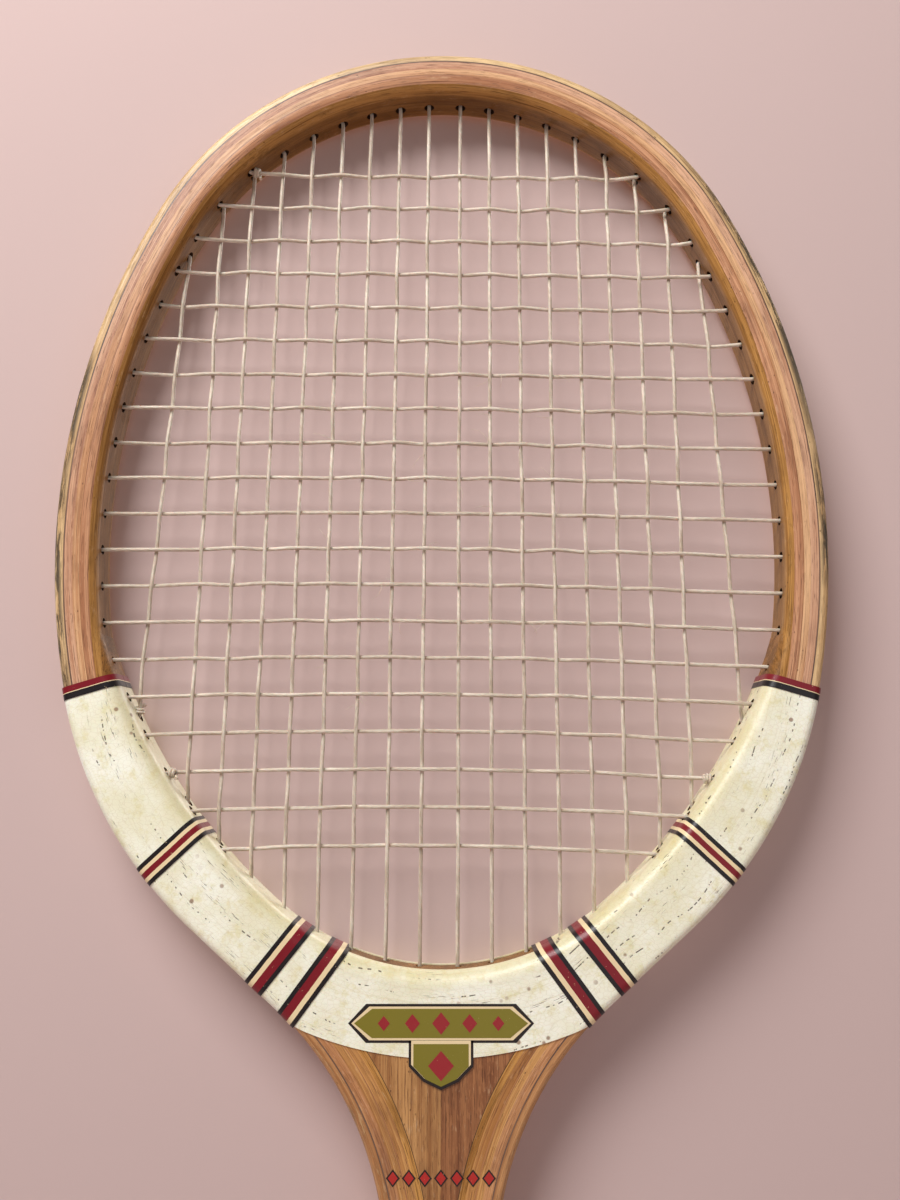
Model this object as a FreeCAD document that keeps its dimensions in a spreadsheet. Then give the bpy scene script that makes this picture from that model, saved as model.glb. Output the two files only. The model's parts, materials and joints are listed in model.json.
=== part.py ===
import FreeCAD, Part
import Sketcher
import math
import os

# Laminated wooden tennis racket with a gut string bed and a leather grip.
# Millimetres. +Z runs from the butt to the crown of the head, X across the head and Y through
# the thickness, with the front face towards -Y. The origin is the centre of the butt's end face
# and the strings lie in the plane Y = 0.

os.makedirs("parts", exist_ok=True)
doc = FreeCAD.newDocument("WoodenRacket")
Vec = FreeCAD.Vector
ACROSS, THROUGH, ALONG = Vec(1, 0, 0), Vec(0, 1, 0), Vec(0, 0, 1)

# Driving dimensions. A heading of 0 degrees runs along +X at the crown, 90 runs straight down.
DIMENSIONS = {
    "overall_length": 686.0,
    "frame_depth": 18.0,
    "crown_radius": 101.0, "crown_heading": 61.0,
    "flank_radius": 219.0, "flank_heading": 102.0,
    "shoulder_radius": 125.0, "shoulder_heading": 138.5,
    "throat_radius": 94.0,
    "shaft_half_width": 15.0,
    "outer_ash_thick": 2.9, "outer_fibre_thick": 0.4, "beech_thick": 2.4, "centre_ash_thick": 2.0,
    "inner_fibre_thick": 0.3, "mahogany_thick": 2.4, "inner_ash_thick": 2.0,
    "flank_inner_heading": 97.25,
    "bow_end_radius": 14.5, "bow_end_heading": 108.3,
    "bow_side_radius": 176.4, "bow_side_heading": 139.8,
    "bow_thick": 8.7,
    "outer_edge_radius": 2.2, "inner_edge_radius": 4.0,
    "string_radius": 0.65, "string_hole_radius": 1.15, "groove_radius": 0.85,
    "groove_inset": 0.75, "hole_stagger": 1.6, "weave_lift": 0.7,
    "main_pairs": 9, "first_main_half": 5.3, "main_pitch": 9.7, "main_fan": 2.7, "main_lean": 0.6,
    "last_main_top_half": 81.2, "last_main_foot_half": 90.8,
    "cross_count": 20, "top_cross_height": 648.2, "cross_pitch": 11.12, "cross_droop": 2.8,
    "cross_fall": 1.1,
    "loop_depth": 6.0,
    "vellum_thick": 0.35, "band_thick": 0.2, "band_width": 6.2,
    "vellum_foot_radius": 104.0, "vellum_foot_height": 379.5,
    "wood_handle_width": 32.8, "wood_handle_depth": 28.3, "handle_corner": 7.5,
    "handle_top": 190.0, "handle_taper": 22.0,
    "leather_thick": 1.6, "leather_top": 180.0, "leather_paring": 0.4,
    "collar_lap": 5.0, "collar_height": 8.0, "collar_thick": 0.8,
    "cap_thick": 3.0, "flare_height": 20.0, "flare_growth": 3.0,
    "tack_head_radius": 1.9, "tack_shank_radius": 0.7, "nail_head_thick": 0.8,
    "nail_length": 14.0, "nail_offset": 11.6, "tack_length": 7.0,
    "knot_ring_radius": 1.45, "knot_wrap_radius": 0.7, "knot_pitch": 1.3, "knot_start": 0.7,
    "transfer_thick": 0.5, "diamond_thick": 0.12,
}

sheet = doc.addObject("Spreadsheet::Sheet", "Dims")
for row, (alias, value) in enumerate(DIMENSIONS.items(), start=1):
    sheet.set(f"A{row}", alias)
    sheet.set(f"B{row}", str(value))
    sheet.setAlias(f"B{row}", alias)
doc.recompute()


def dim(alias):
    """The sheet's value for one named dimension."""
    return float(sheet.get(alias))


HALF_DEPTH = dim("frame_depth") / 2
PLY_NAMES = ("outer_ash", "outer_fibre", "beech", "centre_ash", "inner_fibre", "mahogany", "inner_ash")
STACK = " + ".join(f"Dims.{ply}_thick" for ply in PLY_NAMES)
STACK_THICK = sum(dim(f"{ply}_thick") for ply in PLY_NAMES)


# ---------------------------------------------------------------- outlines in the XZ plane

def arc_chain(top, turns):
    """Tangent arcs down the right side from (0, top), each given as radius and end heading."""
    x, z, heading = 0.0, top, 0.0
    arcs = []
    for radius, end in turns:
        start_angle, end_angle = math.radians(90 - heading), math.radians(90 - end)
        centre = (x - radius * math.cos(start_angle), z - radius * math.sin(start_angle))
        arcs.append((centre, radius, end_angle, start_angle))
        x = centre[0] + radius * math.cos(end_angle)
        z = centre[1] + radius * math.sin(end_angle)
        heading = end
    return arcs, x, z


def mirrored_arc(side, centre, radius, first, last):
    """A sketch arc on the right (side 1) or its mirror image on the left (side -1)."""
    if side < 0:
        first, last = math.pi - last, math.pi - first
    circle = Part.Circle(Vec(side * centre[0], centre[1], 0), Vec(0, 0, 1), radius)
    return Part.ArcOfCircle(circle, first, last)


def upright_sketch(name):
    """A sketch lying in the XZ plane of the racket."""
    sketch = doc.addObject("Sketcher::SketchObject", name)
    sketch.Placement = FreeCAD.Placement(Vec(0, 0, 0), FreeCAD.Rotation(Vec(1, 0, 0), 90))
    return sketch


def bind(sketch, constraint, expression):
    """Adds a named driving constraint and ties it to the sheet."""
    index = sketch.addConstraint(constraint)
    sketch.setExpression(f"Constraints[{index}]", expression)


def add_arcs(sketch, side, arcs, radius_names, heading_names):
    """Adds one side's chain of arcs, each bound to the sheet's radius and turn."""
    ids = []
    last_heading = "0"
    for (centre, radius, first, last), name in zip(arcs, radius_names):
        ids.append(sketch.addGeometry(mirrored_arc(side, centre, radius, first, last), False))
        bind(sketch, Sketcher.Constraint("Radius", ids[-1], radius), name)
    for arc, heading, (centre, radius, first, last) in zip(ids, heading_names, arcs):
        turn = f"({heading} - ({last_heading})) * 1 deg"
        bind(sketch, Sketcher.Constraint("Angle", arc, last - first), turn)
        last_heading = heading
    # An arc runs anticlockwise, so its upper end is its end point on the right, start on the left.
    upper, lower = (2, 1) if side > 0 else (1, 2)
    sketch.addConstraint(Sketcher.Constraint("PointOnObject", ids[0], 3, -2))
    sketch.addConstraint(Sketcher.Constraint("PointOnObject", ids[0], upper, -2))
    for above, below in zip(ids, ids[1:]):
        sketch.addConstraint(Sketcher.Constraint("Tangent", above, lower, below, upper))
    return ids, upper, lower


def frame_outline():
    """Outer edge of head, shoulders, throat and shaft, closed below the butt."""
    sketch = upright_sketch("FrameOutline")
    turns = [(dim(f"{part}_radius"), dim(f"{part}_heading")) for part in ("crown", "flank", "shoulder")]
    arcs, x, z = arc_chain(dim("overall_length"), turns)
    heading = math.radians(dim("shoulder_heading"))
    concave = dim("throat_radius")
    half = dim("shaft_half_width")
    straight = (half - x + concave * (1 - math.sin(heading))) / math.cos(heading)
    bend_x, bend_z = x + straight * math.cos(heading), z - straight * math.sin(heading)
    centre = (half + concave, bend_z + concave * math.cos(heading))
    foot = -2 * STACK_THICK
    feet = []
    for side in (1, -1):
        ids, upper, lower = add_arcs(sketch, side, arcs,
                                     ["Dims.crown_radius", "Dims.flank_radius", "Dims.shoulder_radius"],
                                     ["Dims.crown_heading", "Dims.flank_heading", "Dims.shoulder_heading"])
        slope = sketch.addGeometry(Part.LineSegment(Vec(side * x, z, 0), Vec(side * bend_x, bend_z, 0)))
        bend = sketch.addGeometry(mirrored_arc(side, centre, concave, 3 * math.pi / 2 - heading, math.pi))
        shaft_top, shaft_foot = Vec(side * half, centre[1], 0), Vec(side * half, foot, 0)
        shaft = sketch.addGeometry(Part.LineSegment(shaft_top, shaft_foot))
        sketch.addConstraint(Sketcher.Constraint("Tangent", ids[-1], lower, slope, 1))
        # The throat's arc bends the other way, so its ends are numbered the other way round.
        sketch.addConstraint(Sketcher.Constraint("Tangent", slope, 2, bend, lower))
        sketch.addConstraint(Sketcher.Constraint("Tangent", bend, upper, shaft, 1))
        bind(sketch, Sketcher.Constraint("Radius", bend, concave), "Dims.throat_radius")
        sketch.addConstraint(Sketcher.Constraint("Vertical", shaft))
        bind(sketch, Sketcher.Constraint("DistanceX", -1, 1, shaft, 2, side * half),
             f"{side} * Dims.shaft_half_width")
        bind(sketch, Sketcher.Constraint("DistanceY", -1, 1, ids[0], upper, dim("overall_length")),
             "Dims.overall_length")
        feet.append(shaft)
    base = sketch.addGeometry(Part.LineSegment(Vec(half, foot, 0), Vec(-half, foot, 0)))
    sketch.addConstraint(Sketcher.Constraint("Coincident", base, 1, feet[0], 2))
    sketch.addConstraint(Sketcher.Constraint("Coincident", base, 2, feet[1], 2))
    sketch.addConstraint(Sketcher.Constraint("Horizontal", base))
    bind(sketch, Sketcher.Constraint("DistanceY", base, 1, -1, 1, -foot), f"2 * ({STACK})")
    return sketch


def bed_outline():
    """Inner edge of the head: parallel to the frame down to the flanks, then the bow's curve."""
    sketch = upright_sketch("BedOutline")
    turns = [(dim("crown_radius") - STACK_THICK, dim("crown_heading")),
             (dim("flank_radius") - STACK_THICK, dim("flank_inner_heading")),
             (dim("bow_end_radius"), dim("bow_end_heading")),
             (dim("bow_side_radius"), dim("bow_side_heading"))]
    arcs, x, z = arc_chain(dim("overall_length") - STACK_THICK, turns)
    heading = math.radians(dim("bow_side_heading"))
    foot_radius = x / math.sin(heading)
    foot_centre = (0.0, z - foot_radius * math.cos(heading))
    arcs.append((foot_centre, foot_radius, -math.pi / 2, math.pi / 2 - heading))
    radius_names = [f"Dims.crown_radius - ({STACK})", f"Dims.flank_radius - ({STACK})",
                    "Dims.bow_end_radius", "Dims.bow_side_radius"]
    heading_names = ["Dims.crown_heading", "Dims.flank_inner_heading",
                     "Dims.bow_end_heading", "Dims.bow_side_heading"]
    feet = []
    for side in (1, -1):
        ids, upper, lower = add_arcs(sketch, side, arcs[:-1], radius_names, heading_names)
        foot = sketch.addGeometry(mirrored_arc(side, *arcs[-1]))
        sketch.addConstraint(Sketcher.Constraint("Tangent", ids[-1], lower, foot, upper))
        sketch.addConstraint(Sketcher.Constraint("PointOnObject", foot, 3, -2))
        sketch.addConstraint(Sketcher.Constraint("PointOnObject", foot, lower, -2))
        bind(sketch, Sketcher.Constraint("DistanceY", -1, 1, ids[0], upper,
                                         dim("overall_length") - STACK_THICK),
             f"Dims.overall_length - ({STACK})")
        feet.append(foot)
    return sketch


frame_sketch = frame_outline()
bed_sketch = bed_outline()
doc.recompute()
FRAME_WIRE = frame_sketch.Shape.Wires[0]
BED_WIRE = bed_sketch.Shape.Wires[0]


# ---------------------------------------------------------------- solid helpers

def feature(kind, name, **settings):
    """A document object of one kind with its properties set."""
    made = doc.addObject(kind, name)
    for key, value in settings.items():
        setattr(made, key, value)
    return made


def moved_outline(name, sketch, expression):
    """The sketch's outline moved outwards in its own plane by the expression's value."""
    outline = feature("Part::Offset2D", name, Source=sketch)
    outline.setExpression("Value", expression)
    return outline


def slab(name, outline, depth):
    """A solid of the outline, spread evenly about the string plane."""
    block = feature("Part::Extrusion", name, Base=outline, DirMode="Custom", Dir=Vec(0, 1, 0),
                    Solid=True, Symmetric=True)
    block.setExpression("LengthFwd", depth)
    return block


def cut(name, base, tool):
    return feature("Part::Cut", name, Base=base, Tool=tool)


def common(name, base, tool):
    return feature("Part::Common", name, Base=base, Tool=tool)


def fused(name, shapes):
    return feature("Part::MultiFuse", name, Shapes=shapes)


def region(name, x=0.0, y=0.0, z=0.0):
    """A cube, larger than the racket, whose lowest corner has the given coordinates."""
    block = feature("Part::Box", name)
    for size in ("Length", "Width", "Height"):
        block.setExpression(size, "2 * Dims.overall_length")
    block.Placement = FreeCAD.Placement(Vec(x, y, z), FreeCAD.Rotation())
    return block


def polygon(name, points):
    """An upright sketch of straight lines through the given (x, z) points."""
    sketch = upright_sketch(name)
    count = len(points)
    for index, (x, z) in enumerate(points):
        next_x, next_z = points[(index + 1) % count]
        sketch.addGeometry(Part.LineSegment(Vec(x, z, 0), Vec(next_x, next_z, 0)))
    for index in range(count):
        sketch.addConstraint(Sketcher.Constraint("Coincident", index, 2, (index + 1) % count, 1))
    return sketch


# ---------------------------------------------------------------- strings: where they run

def hit(wire, start, direction):
    """First point where a ray in the string plane meets an outline."""
    ray = Part.makeLine(start, start + direction * dim("overall_length"))
    points = [pair[0] for pair in wire.distToShape(ray)[1]]
    return min(points, key=lambda point: point.distanceToPoint(start))


def outward(mouth):
    """Direction square to the bed's edge at a point on it, pointing into the wood."""
    vertex = Part.Vertex(mouth)
    edge = min(BED_WIRE.Edges, key=lambda candidate: candidate.distToShape(vertex)[0])
    return (mouth - edge.Curve.Center).normalize()


class Anchor:
    """A string hole: its mouth on the bed's edge, its direction and its exit on the outer edge."""

    def __init__(self, start, direction, stagger):
        mouth = hit(BED_WIRE, start, direction)
        self.normal = outward(mouth)
        self.stagger = Vec(0, stagger, 0)
        self.mouth = mouth + self.stagger
        self.exit = hit(FRAME_WIRE, mouth, self.normal) + self.stagger
        self.turn = self.exit - self.normal * dim("groove_inset")


MAIN_PAIRS = int(dim("main_pairs"))
CROSS_COUNT = int(dim("cross_count"))
MID_BED = 540.0
MAIN_NUMBERS = [side * number for side in (-1, 1) for number in range(1, MAIN_PAIRS + 1)]


def main_x(number, z):
    """Where main string number (1 to 9 from the centre, negative on the left) is at height z.

    The mains fan out a few percent per 100 mm towards the throat and lean a little to the right."""
    drop = (MID_BED - z) / 100
    index = abs(number)
    if index < MAIN_PAIRS:
        half = dim("first_main_half") + dim("main_pitch") * (index - 1)
        half *= 1 + dim("main_fan") / 100 * drop
    else:
        head_z, foot_z = 625.0, 472.5
        top, foot = dim("last_main_top_half"), dim("last_main_foot_half")
        half = top + (foot - top) * (head_z - z) / (head_z - foot_z)
    return math.copysign(half, number) - dim("main_lean") * drop


def main_anchor(number, up):
    start = Vec(main_x(number, MID_BED), 0, MID_BED)
    target = Vec(main_x(number, MID_BED + up * 100), 0, MID_BED + up * 100)
    return Anchor(start, (target - start).normalize(), dim("hole_stagger"))


def cross_height(row):
    """Height of a cross string at the centre line; row 0 is the highest."""
    return dim("top_cross_height") - row * dim("cross_pitch")


def cross_anchor(row, side):
    start = Vec(0, 0, cross_height(row))
    sag = dim("cross_droop") * row / (CROSS_COUNT - 1)
    return Anchor(start, Vec(side * 100, 0, -sag - side * dim("cross_fall")).normalize(),
                  -dim("hole_stagger"))


HEAD_ANCHORS = {number: main_anchor(number, 1) for number in MAIN_NUMBERS}
FOOT_ANCHORS = {number: main_anchor(number, -1) for number in MAIN_NUMBERS}
CROSS_ANCHORS = {(row, side): cross_anchor(row, side) for row in range(CROSS_COUNT) for side in (-1, 1)}


def cross_z(row, x):
    """Height of a cross string at x: it falls to the right and its ends lie below its middle."""
    mouth = CROSS_ANCHORS[row, 1 if x > 0 else -1].mouth
    fall = -dim("cross_fall") / 100
    bend = mouth.z - cross_height(row) - fall * mouth.x
    return cross_height(row) + fall * x + bend * (x / mouth.x) ** 2


def weave_side(number, row):
    """1 where the main passes behind the cross at this crossing, -1 where it passes in front."""
    column = number if number > 0 else number + 1
    return 1 if (column + row) % 2 else -1


def crossings():
    """Every crossing as (main number, cross row, point in the string plane)."""
    clear = 4.5
    for row in range(CROSS_COUNT):
        for number in MAIN_NUMBERS:
            reach = abs(CROSS_ANCHORS[row, int(math.copysign(1, number))].mouth.x) - clear
            z = cross_z(row, main_x(number, cross_height(row)))
            x = main_x(number, z)
            inside = FOOT_ANCHORS[number].mouth.z + clear < z < HEAD_ANCHORS[number].mouth.z - clear
            if abs(x) < reach and inside:
                yield number, row, Vec(x, 0, z)


CROSSINGS = list(crossings())


# ---------------------------------------------------------------- strings: solids

LAST_INSIDE_LOOP = 6


def outside_loop(first, second):
    """Corner points of a loop lying along the outer edge from one hole to another."""
    normal = (first.normal + second.normal).normalize()
    middle = (first.exit + second.exit) * 0.5 - first.stagger
    crest = hit(FRAME_WIRE, middle - normal * 3, normal) - normal * dim("groove_inset")
    arc = Part.Arc(first.turn, crest + first.stagger, second.turn).toShape()
    return arc.discretize(5)


def inside_loop(first, second):
    """Corner points of a loop hidden in the bow, down one hole and up the next."""
    normal = (first.normal + second.normal).normalize()
    deepest = (first.mouth + second.mouth) * 0.5 + normal * dim("loop_depth")
    return Part.Arc(first.mouth, deepest, second.mouth).toShape().discretize(7)


def bar(points, radius):
    """A round bar with mitred bends through the given points, set out to a tenth of a millimetre."""
    points = [Vec(*(round(value, 1) for value in point)) for point in points]
    path = Part.makePolygon(points)
    circle = Part.makeCircle(radius, points[0], points[1] - points[0])
    mitred = 1
    return path.makePipeShell([Part.Wire([circle])], True, False, mitred)


def woven_points(number=None, cross=None):
    """Crossing points of one main or one cross, each lifted to the side it is woven to."""
    for main, row, point in CROSSINGS:
        lift = dim("weave_lift") * weave_side(main, row)
        if main == number:
            yield point + THROUGH * lift
        elif row == cross:
            yield point - THROUGH * lift


def main_path():
    """The long string's path from its left end to its right end, as points."""
    path = []
    upwards = True
    for number in range(-MAIN_PAIRS, MAIN_PAIRS + 1):
        if number == 0:
            continue
        foot, head = FOOT_ANCHORS[number], HEAD_ANCHORS[number]
        run = [foot.mouth, *sorted(woven_points(number=number), key=lambda point: point.z), head.mouth]
        path += run if upwards else run[::-1]
        if number < MAIN_PAIRS:
            following = number + 1 or 1
            ends = HEAD_ANCHORS if upwards else FOOT_ANCHORS
            hidden = not upwards and max(abs(number), abs(following)) <= LAST_INSIDE_LOOP
            loop = inside_loop if hidden else outside_loop
            points = loop(ends[number], ends[following])
            path += points[1:-1] if hidden else points
        upwards = not upwards
    return [FOOT_ANCHORS[-MAIN_PAIRS].turn, *path, FOOT_ANCHORS[MAIN_PAIRS].turn]


def cross_path():
    """The short string's path from the top row's left end down to the lowest row, as points."""
    path = [CROSS_ANCHORS[0, -1].turn]
    for row in range(CROSS_COUNT):
        left, right = CROSS_ANCHORS[row, -1], CROSS_ANCHORS[row, 1]
        run = [left.mouth, *sorted(woven_points(cross=row), key=lambda point: point.x), right.mouth]
        rightwards = row % 2 == 0
        path += run if rightwards else run[::-1]
        if row + 1 < CROSS_COUNT:
            side = 1 if rightwards else -1
            path += outside_loop(CROSS_ANCHORS[row, side], CROSS_ANCHORS[row + 1, side])
    last_side = 1 if CROSS_COUNT % 2 else -1
    return [*path, CROSS_ANCHORS[CROSS_COUNT - 1, last_side].turn]


def through_holes():
    """Round holes from the bed's edge out through the rim, for every string that leaves the head."""
    hole = dim("string_hole_radius")
    hidden = [FOOT_ANCHORS[number] for number in MAIN_NUMBERS if abs(number) <= LAST_INSIDE_LOOP]
    for anchor in [*HEAD_ANCHORS.values(), *FOOT_ANCHORS.values(), *CROSS_ANCHORS.values()]:
        if anchor not in hidden:
            start = anchor.mouth - anchor.normal * 2
            end = anchor.exit + anchor.normal * 2
            yield Part.makeCylinder(hole, start.distanceToPoint(end), start, end - start)


def hidden_channels():
    """Curved channels inside the bow, each joining two neighbouring throat holes."""
    for side in (-1, 1):
        for number in range(1, LAST_INSIDE_LOOP, 2):
            pair = FOOT_ANCHORS[side * number], FOOT_ANCHORS[side * (number + 1)]
            yield bar(inside_loop(*pair), dim("string_hole_radius"))


def outside_pairs():
    """Pairs of holes with a loop of string between them on the outer edge."""
    yield HEAD_ANCHORS[-1], HEAD_ANCHORS[1]
    for side in (-1, 1):
        for number in range(2, MAIN_PAIRS, 2):
            yield HEAD_ANCHORS[side * number], HEAD_ANCHORS[side * (number + 1)]
        yield FOOT_ANCHORS[side * (MAIN_PAIRS - 2)], FOOT_ANCHORS[side * (MAIN_PAIRS - 1)]
    for row in range(CROSS_COUNT - 1):
        side = 1 if row % 2 == 0 else -1
        yield CROSS_ANCHORS[row, side], CROSS_ANCHORS[row + 1, side]


def loop_grooves():
    """Shallow grooves in the outer edge, so that the loops between holes lie flush."""
    for first, second in outside_pairs():
        yield bar(outside_loop(first, second), dim("groove_radius"))


# ---------------------------------------------------------------- laminated frame

def rounded_frame(name, growth):
    """Frame with its opening and rounded edges, grown on every side by a covering's thickness."""
    skin = sum(dim(part) for part in growth)
    outer, inner = frame_sketch, bed_sketch
    depth = " + ".join(["Dims.frame_depth", *(f"2 * Dims.{part}" for part in growth)])
    if growth:
        thickness = " + ".join(f"Dims.{part}" for part in growth)
        outer = moved_outline(f"{name}Outer", frame_sketch, thickness)
        inner = moved_outline(f"{name}Inner", bed_sketch, f"-({thickness})")
    body = cut(f"{name}Blank", slab(f"{name}Slab", outer, depth), slab(f"{name}Bed", inner, depth))
    doc.recompute()
    rounded = feature("Part::Fillet", name, Base=body)
    edges = []
    for index, edge in enumerate(body.Shape.Edges, start=1):
        middle = edge.valueAt((edge.FirstParameter + edge.LastParameter) / 2)
        if abs(abs(middle.y) - HALF_DEPTH - skin) > 0.01 or middle.z < -STACK_THICK:
            continue
        flat = Part.Vertex(Vec(middle.x, 0, middle.z))
        on_bed = BED_WIRE.distToShape(flat)[0] < FRAME_WIRE.distToShape(flat)[0]
        radius = dim("inner_edge_radius") if on_bed else dim("outer_edge_radius")
        edges.append((index, radius + skin, radius + skin))
    rounded.Edges = edges
    return rounded


frame_shape = rounded_frame("FrameShape", [])
REACH = dim("overall_length")
foot_trim = region("FootTrim", -REACH, -REACH, dim("cap_thick") - 2 * REACH)
solid_frame = cut("TrimmedFrame", frame_shape, foot_trim)

nodes = {}


def keep(label, piece):
    """Names a finished piece after the file it's written to."""
    piece.Label = label
    nodes[label] = piece
    return piece


def drilled(name, base, tools):
    """The base with the given holes taken out of it."""
    doc.recompute()
    return feature("Part::Feature", name, Shape=base.Shape.cut(list(tools)))


DEEP = "2 * Dims.frame_depth"


def inside_line(name, thicknesses):
    """Solid filling the frame's outline moved inwards by a list of ply thicknesses."""
    inset = f"-({' + '.join(thicknesses)})"
    return slab(f"Inside_{name}", moved_outline(f"Line_{name}", frame_sketch, inset), DEEP)


PLY_THICKNESSES = [f"Dims.{ply}_thick" for ply in PLY_NAMES]
# The bow ends where its tight end arcs meet its long side arcs.
BOW_TOP = sorted({round(vertex.Z, 3) for vertex in BED_WIRE.Vertexes})[2]
below_bow_ends = region("BelowBowEnds", -REACH, -REACH, BOW_TOP - 2 * REACH)
core = common("Core", inside_line("core", PLY_THICKNESSES), below_bow_ends)

layer = slab("BeyondFrame", moved_outline("LineBeyond", frame_sketch, "Dims.outer_ash_thick"), DEEP)
for count, ply in enumerate(PLY_NAMES, start=1):
    inner_face = core if ply == PLY_NAMES[-1] else inside_line(ply, PLY_THICKNESSES[:count])
    plank = common(f"Plank_{ply}", solid_frame, cut(f"Ring_{ply}", layer, inner_face))
    tools = [*through_holes(), *loop_grooves()] if count == 1 else through_holes()
    keep(f"{ply}_ply", drilled(f"Ply_{ply}", plank, tools))
    layer = inner_face

bow_line = slab("BowBack", moved_outline("BowLine", bed_sketch, "Dims.bow_thick"), DEEP)
low_core = common("LowCore", solid_frame, core)
bow_blank = common("BowBlank", low_core, bow_line)
keep("throat_bow", drilled("ThroatBow", bow_blank, [*through_holes(), *hidden_channels()]))
wedge = drilled("Wedge", cut("WedgeBlank", low_core, bow_line), through_holes())
left_half = region("LeftHalf", -2 * REACH, -REACH, -REACH)
right_half = region("RightHalf", 0, -REACH, -REACH)
keep("throat_wedge_left", common("WedgeLeft", wedge, left_half))
keep("throat_wedge_right", common("WedgeRight", wedge, right_half))


# ---------------------------------------------------------------- strings

keep("main_string", feature("Part::Feature", "MainString", Shape=bar(main_path(), dim("string_radius"))))
keep("cross_string", feature("Part::Feature", "CrossString", Shape=bar(cross_path(), dim("string_radius"))))


# ---------------------------------------------------------------- coverings of the shoulders

def across_frame(middle, outwards, width):
    """A deep box laid across one side of the frame, centred on a point and running outwards."""
    block = feature("Part::Box", "Across")
    block.setExpression("Length", "4 * Dims.shaft_half_width")
    block.setExpression("Width", DEEP)
    block.setExpression("Height", width)
    turn = FreeCAD.Rotation(ACROSS, outwards)
    size = Vec(4 * dim("shaft_half_width"), 2 * dim("frame_depth"), block.evalExpression(width))
    block.Placement = FreeCAD.Placement(middle - turn.multVec(size * 0.5), turn)
    return block


class Band:
    """A striped band round both shoulders, from a point on the outer edge to one on the inner."""

    def __init__(self, name, outer, inner):
        self.name = name
        self.outer, self.inner = Vec(outer[0], 0, outer[1]), Vec(inner[0], 0, inner[1])

    def boxes(self, width):
        middle, run = (self.outer + self.inner) * 0.5, self.outer - self.inner
        sides = [(middle, run), (Vec(-middle.x, 0, middle.z), Vec(-run.x, 0, run.z))]
        return fused(f"Boxes_{self.name}", [across_frame(*side, width) for side in sides])


BANDS = (Band("end_band", (110.0, 481.0), (90.0, 487.0)),
         Band("middle_band", (84.6, 429.2), (70.0, 442.8)),
         Band("upper_throat_band", (53.0, 398.2), (39.5, 415.0)),
         Band("lower_throat_band", (43.2, 390.4), (29.0, 409.5)))

vellum_skin = rounded_frame("VellumSkin", ["vellum_thick"])
band_skin = rounded_frame("BandSkin", ["vellum_thick", "band_thick"])
string_channel = slab("StringChannel", moved_outline("ChannelLine", bed_sketch, "Dims.vellum_thick"),
                      "Dims.frame_depth / 2")
vellum_shell = cut("VellumShell", cut("VellumHollow", vellum_skin, frame_shape), string_channel)
band_shell = cut("BandShell", cut("BandHollow", band_skin, vellum_skin), string_channel)
for band in BANDS:
    keep(band.name, common(f"Shape_{band.name}", band_shell, band.boxes("Dims.band_width")))


def vellum_field():
    """Front outline of the vellum: across the shoulders under the end bands, round the throat."""
    end, foot = BANDS[0], BANDS[-1]
    slope = (end.outer.z - end.inner.z) / (end.outer.x - end.inner.x)
    top_in, top_out, low_out = 80.0, 130.0, 62.0
    corner_x = foot.outer.x + 0.8
    radius = dim("vellum_foot_radius")
    centre_z = dim("vellum_foot_height") + radius
    corner_z = centre_z - math.sqrt(radius ** 2 - corner_x ** 2)
    right = [Vec(top_in, end.outer.z + slope * (top_in - end.outer.x), 0),
             Vec(top_out, end.outer.z + slope * (top_out - end.outer.x), 0),
             Vec(low_out, corner_z - (low_out - corner_x), 0),
             Vec(corner_x, corner_z, 0)]
    left = [Vec(-point.x, point.y, 0) for point in reversed(right)]
    sketch = upright_sketch("VellumField")
    for first, second in [*zip(right, right[1:]), *zip(left, left[1:]), (left[-1], right[0])]:
        sketch.addGeometry(Part.LineSegment(first, second))
    swing = math.asin(corner_x / radius)
    circle = Part.Circle(Vec(0, centre_z, 0), Vec(0, 0, 1), radius)
    foot_arc = sketch.addGeometry(Part.ArcOfCircle(circle, -math.pi / 2 - swing, -math.pi / 2 + swing))
    bind(sketch, Sketcher.Constraint("Radius", foot_arc, radius), "Dims.vellum_foot_radius")
    return sketch


vellum = common("Vellum", vellum_shell, slab("VellumFieldSlab", vellum_field(), DEEP))
throat_out, throat_in = 1.0, 0.6
foot_band = BANDS[-1]
run = foot_band.outer - foot_band.inner
far, near = foot_band.outer + run * throat_out, foot_band.inner - run * throat_in
throat_field = slab("ThroatFieldSlab", polygon("ThroatField", [
    (far.x, far.z), (near.x, near.z), (-near.x, near.z), (-far.x, far.z)]), DEEP)
shoulder_vellum = cut("ShoulderVellum", vellum, throat_field)
keep("vellum_left", common("VellumLeft", shoulder_vellum, left_half))
keep("vellum_right", common("VellumRight", shoulder_vellum, right_half))
throat_vellum = common("ThroatVellum", vellum, throat_field)
front_half = region("FrontHalf", -REACH, -2 * REACH, -REACH)
back_half = region("BackHalf", -REACH, 0, -REACH)
keep("vellum_throat_back", common("VellumThroatBack", throat_vellum, back_half))
front_vellum = common("VellumThroatFront", throat_vellum, front_half)


# ---------------------------------------------------------------- transfers on the front face

def rhombus(centre_x, centre_z, half_width, half_height):
    return [(centre_x - half_width, centre_z), (centre_x, centre_z + half_height),
            (centre_x + half_width, centre_z), (centre_x, centre_z - half_height)]


def transfer(name, outlines, thickness):
    """Thin solids of the outlines, standing on the front face."""
    pieces = []
    for index, points in enumerate(outlines):
        plate = feature("Part::Extrusion", f"{name}{index}", Base=polygon(f"{name}Line{index}", points),
                        DirMode="Custom", Dir=-THROUGH, Solid=True)
        plate.setExpression("LengthFwd", thickness)
        plate.Placement = FreeCAD.Placement(-THROUGH * HALF_DEPTH, FreeCAD.Rotation())
        pieces.append(plate)
    return fused(name, pieces) if len(pieces) > 1 else pieces[0]


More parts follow.
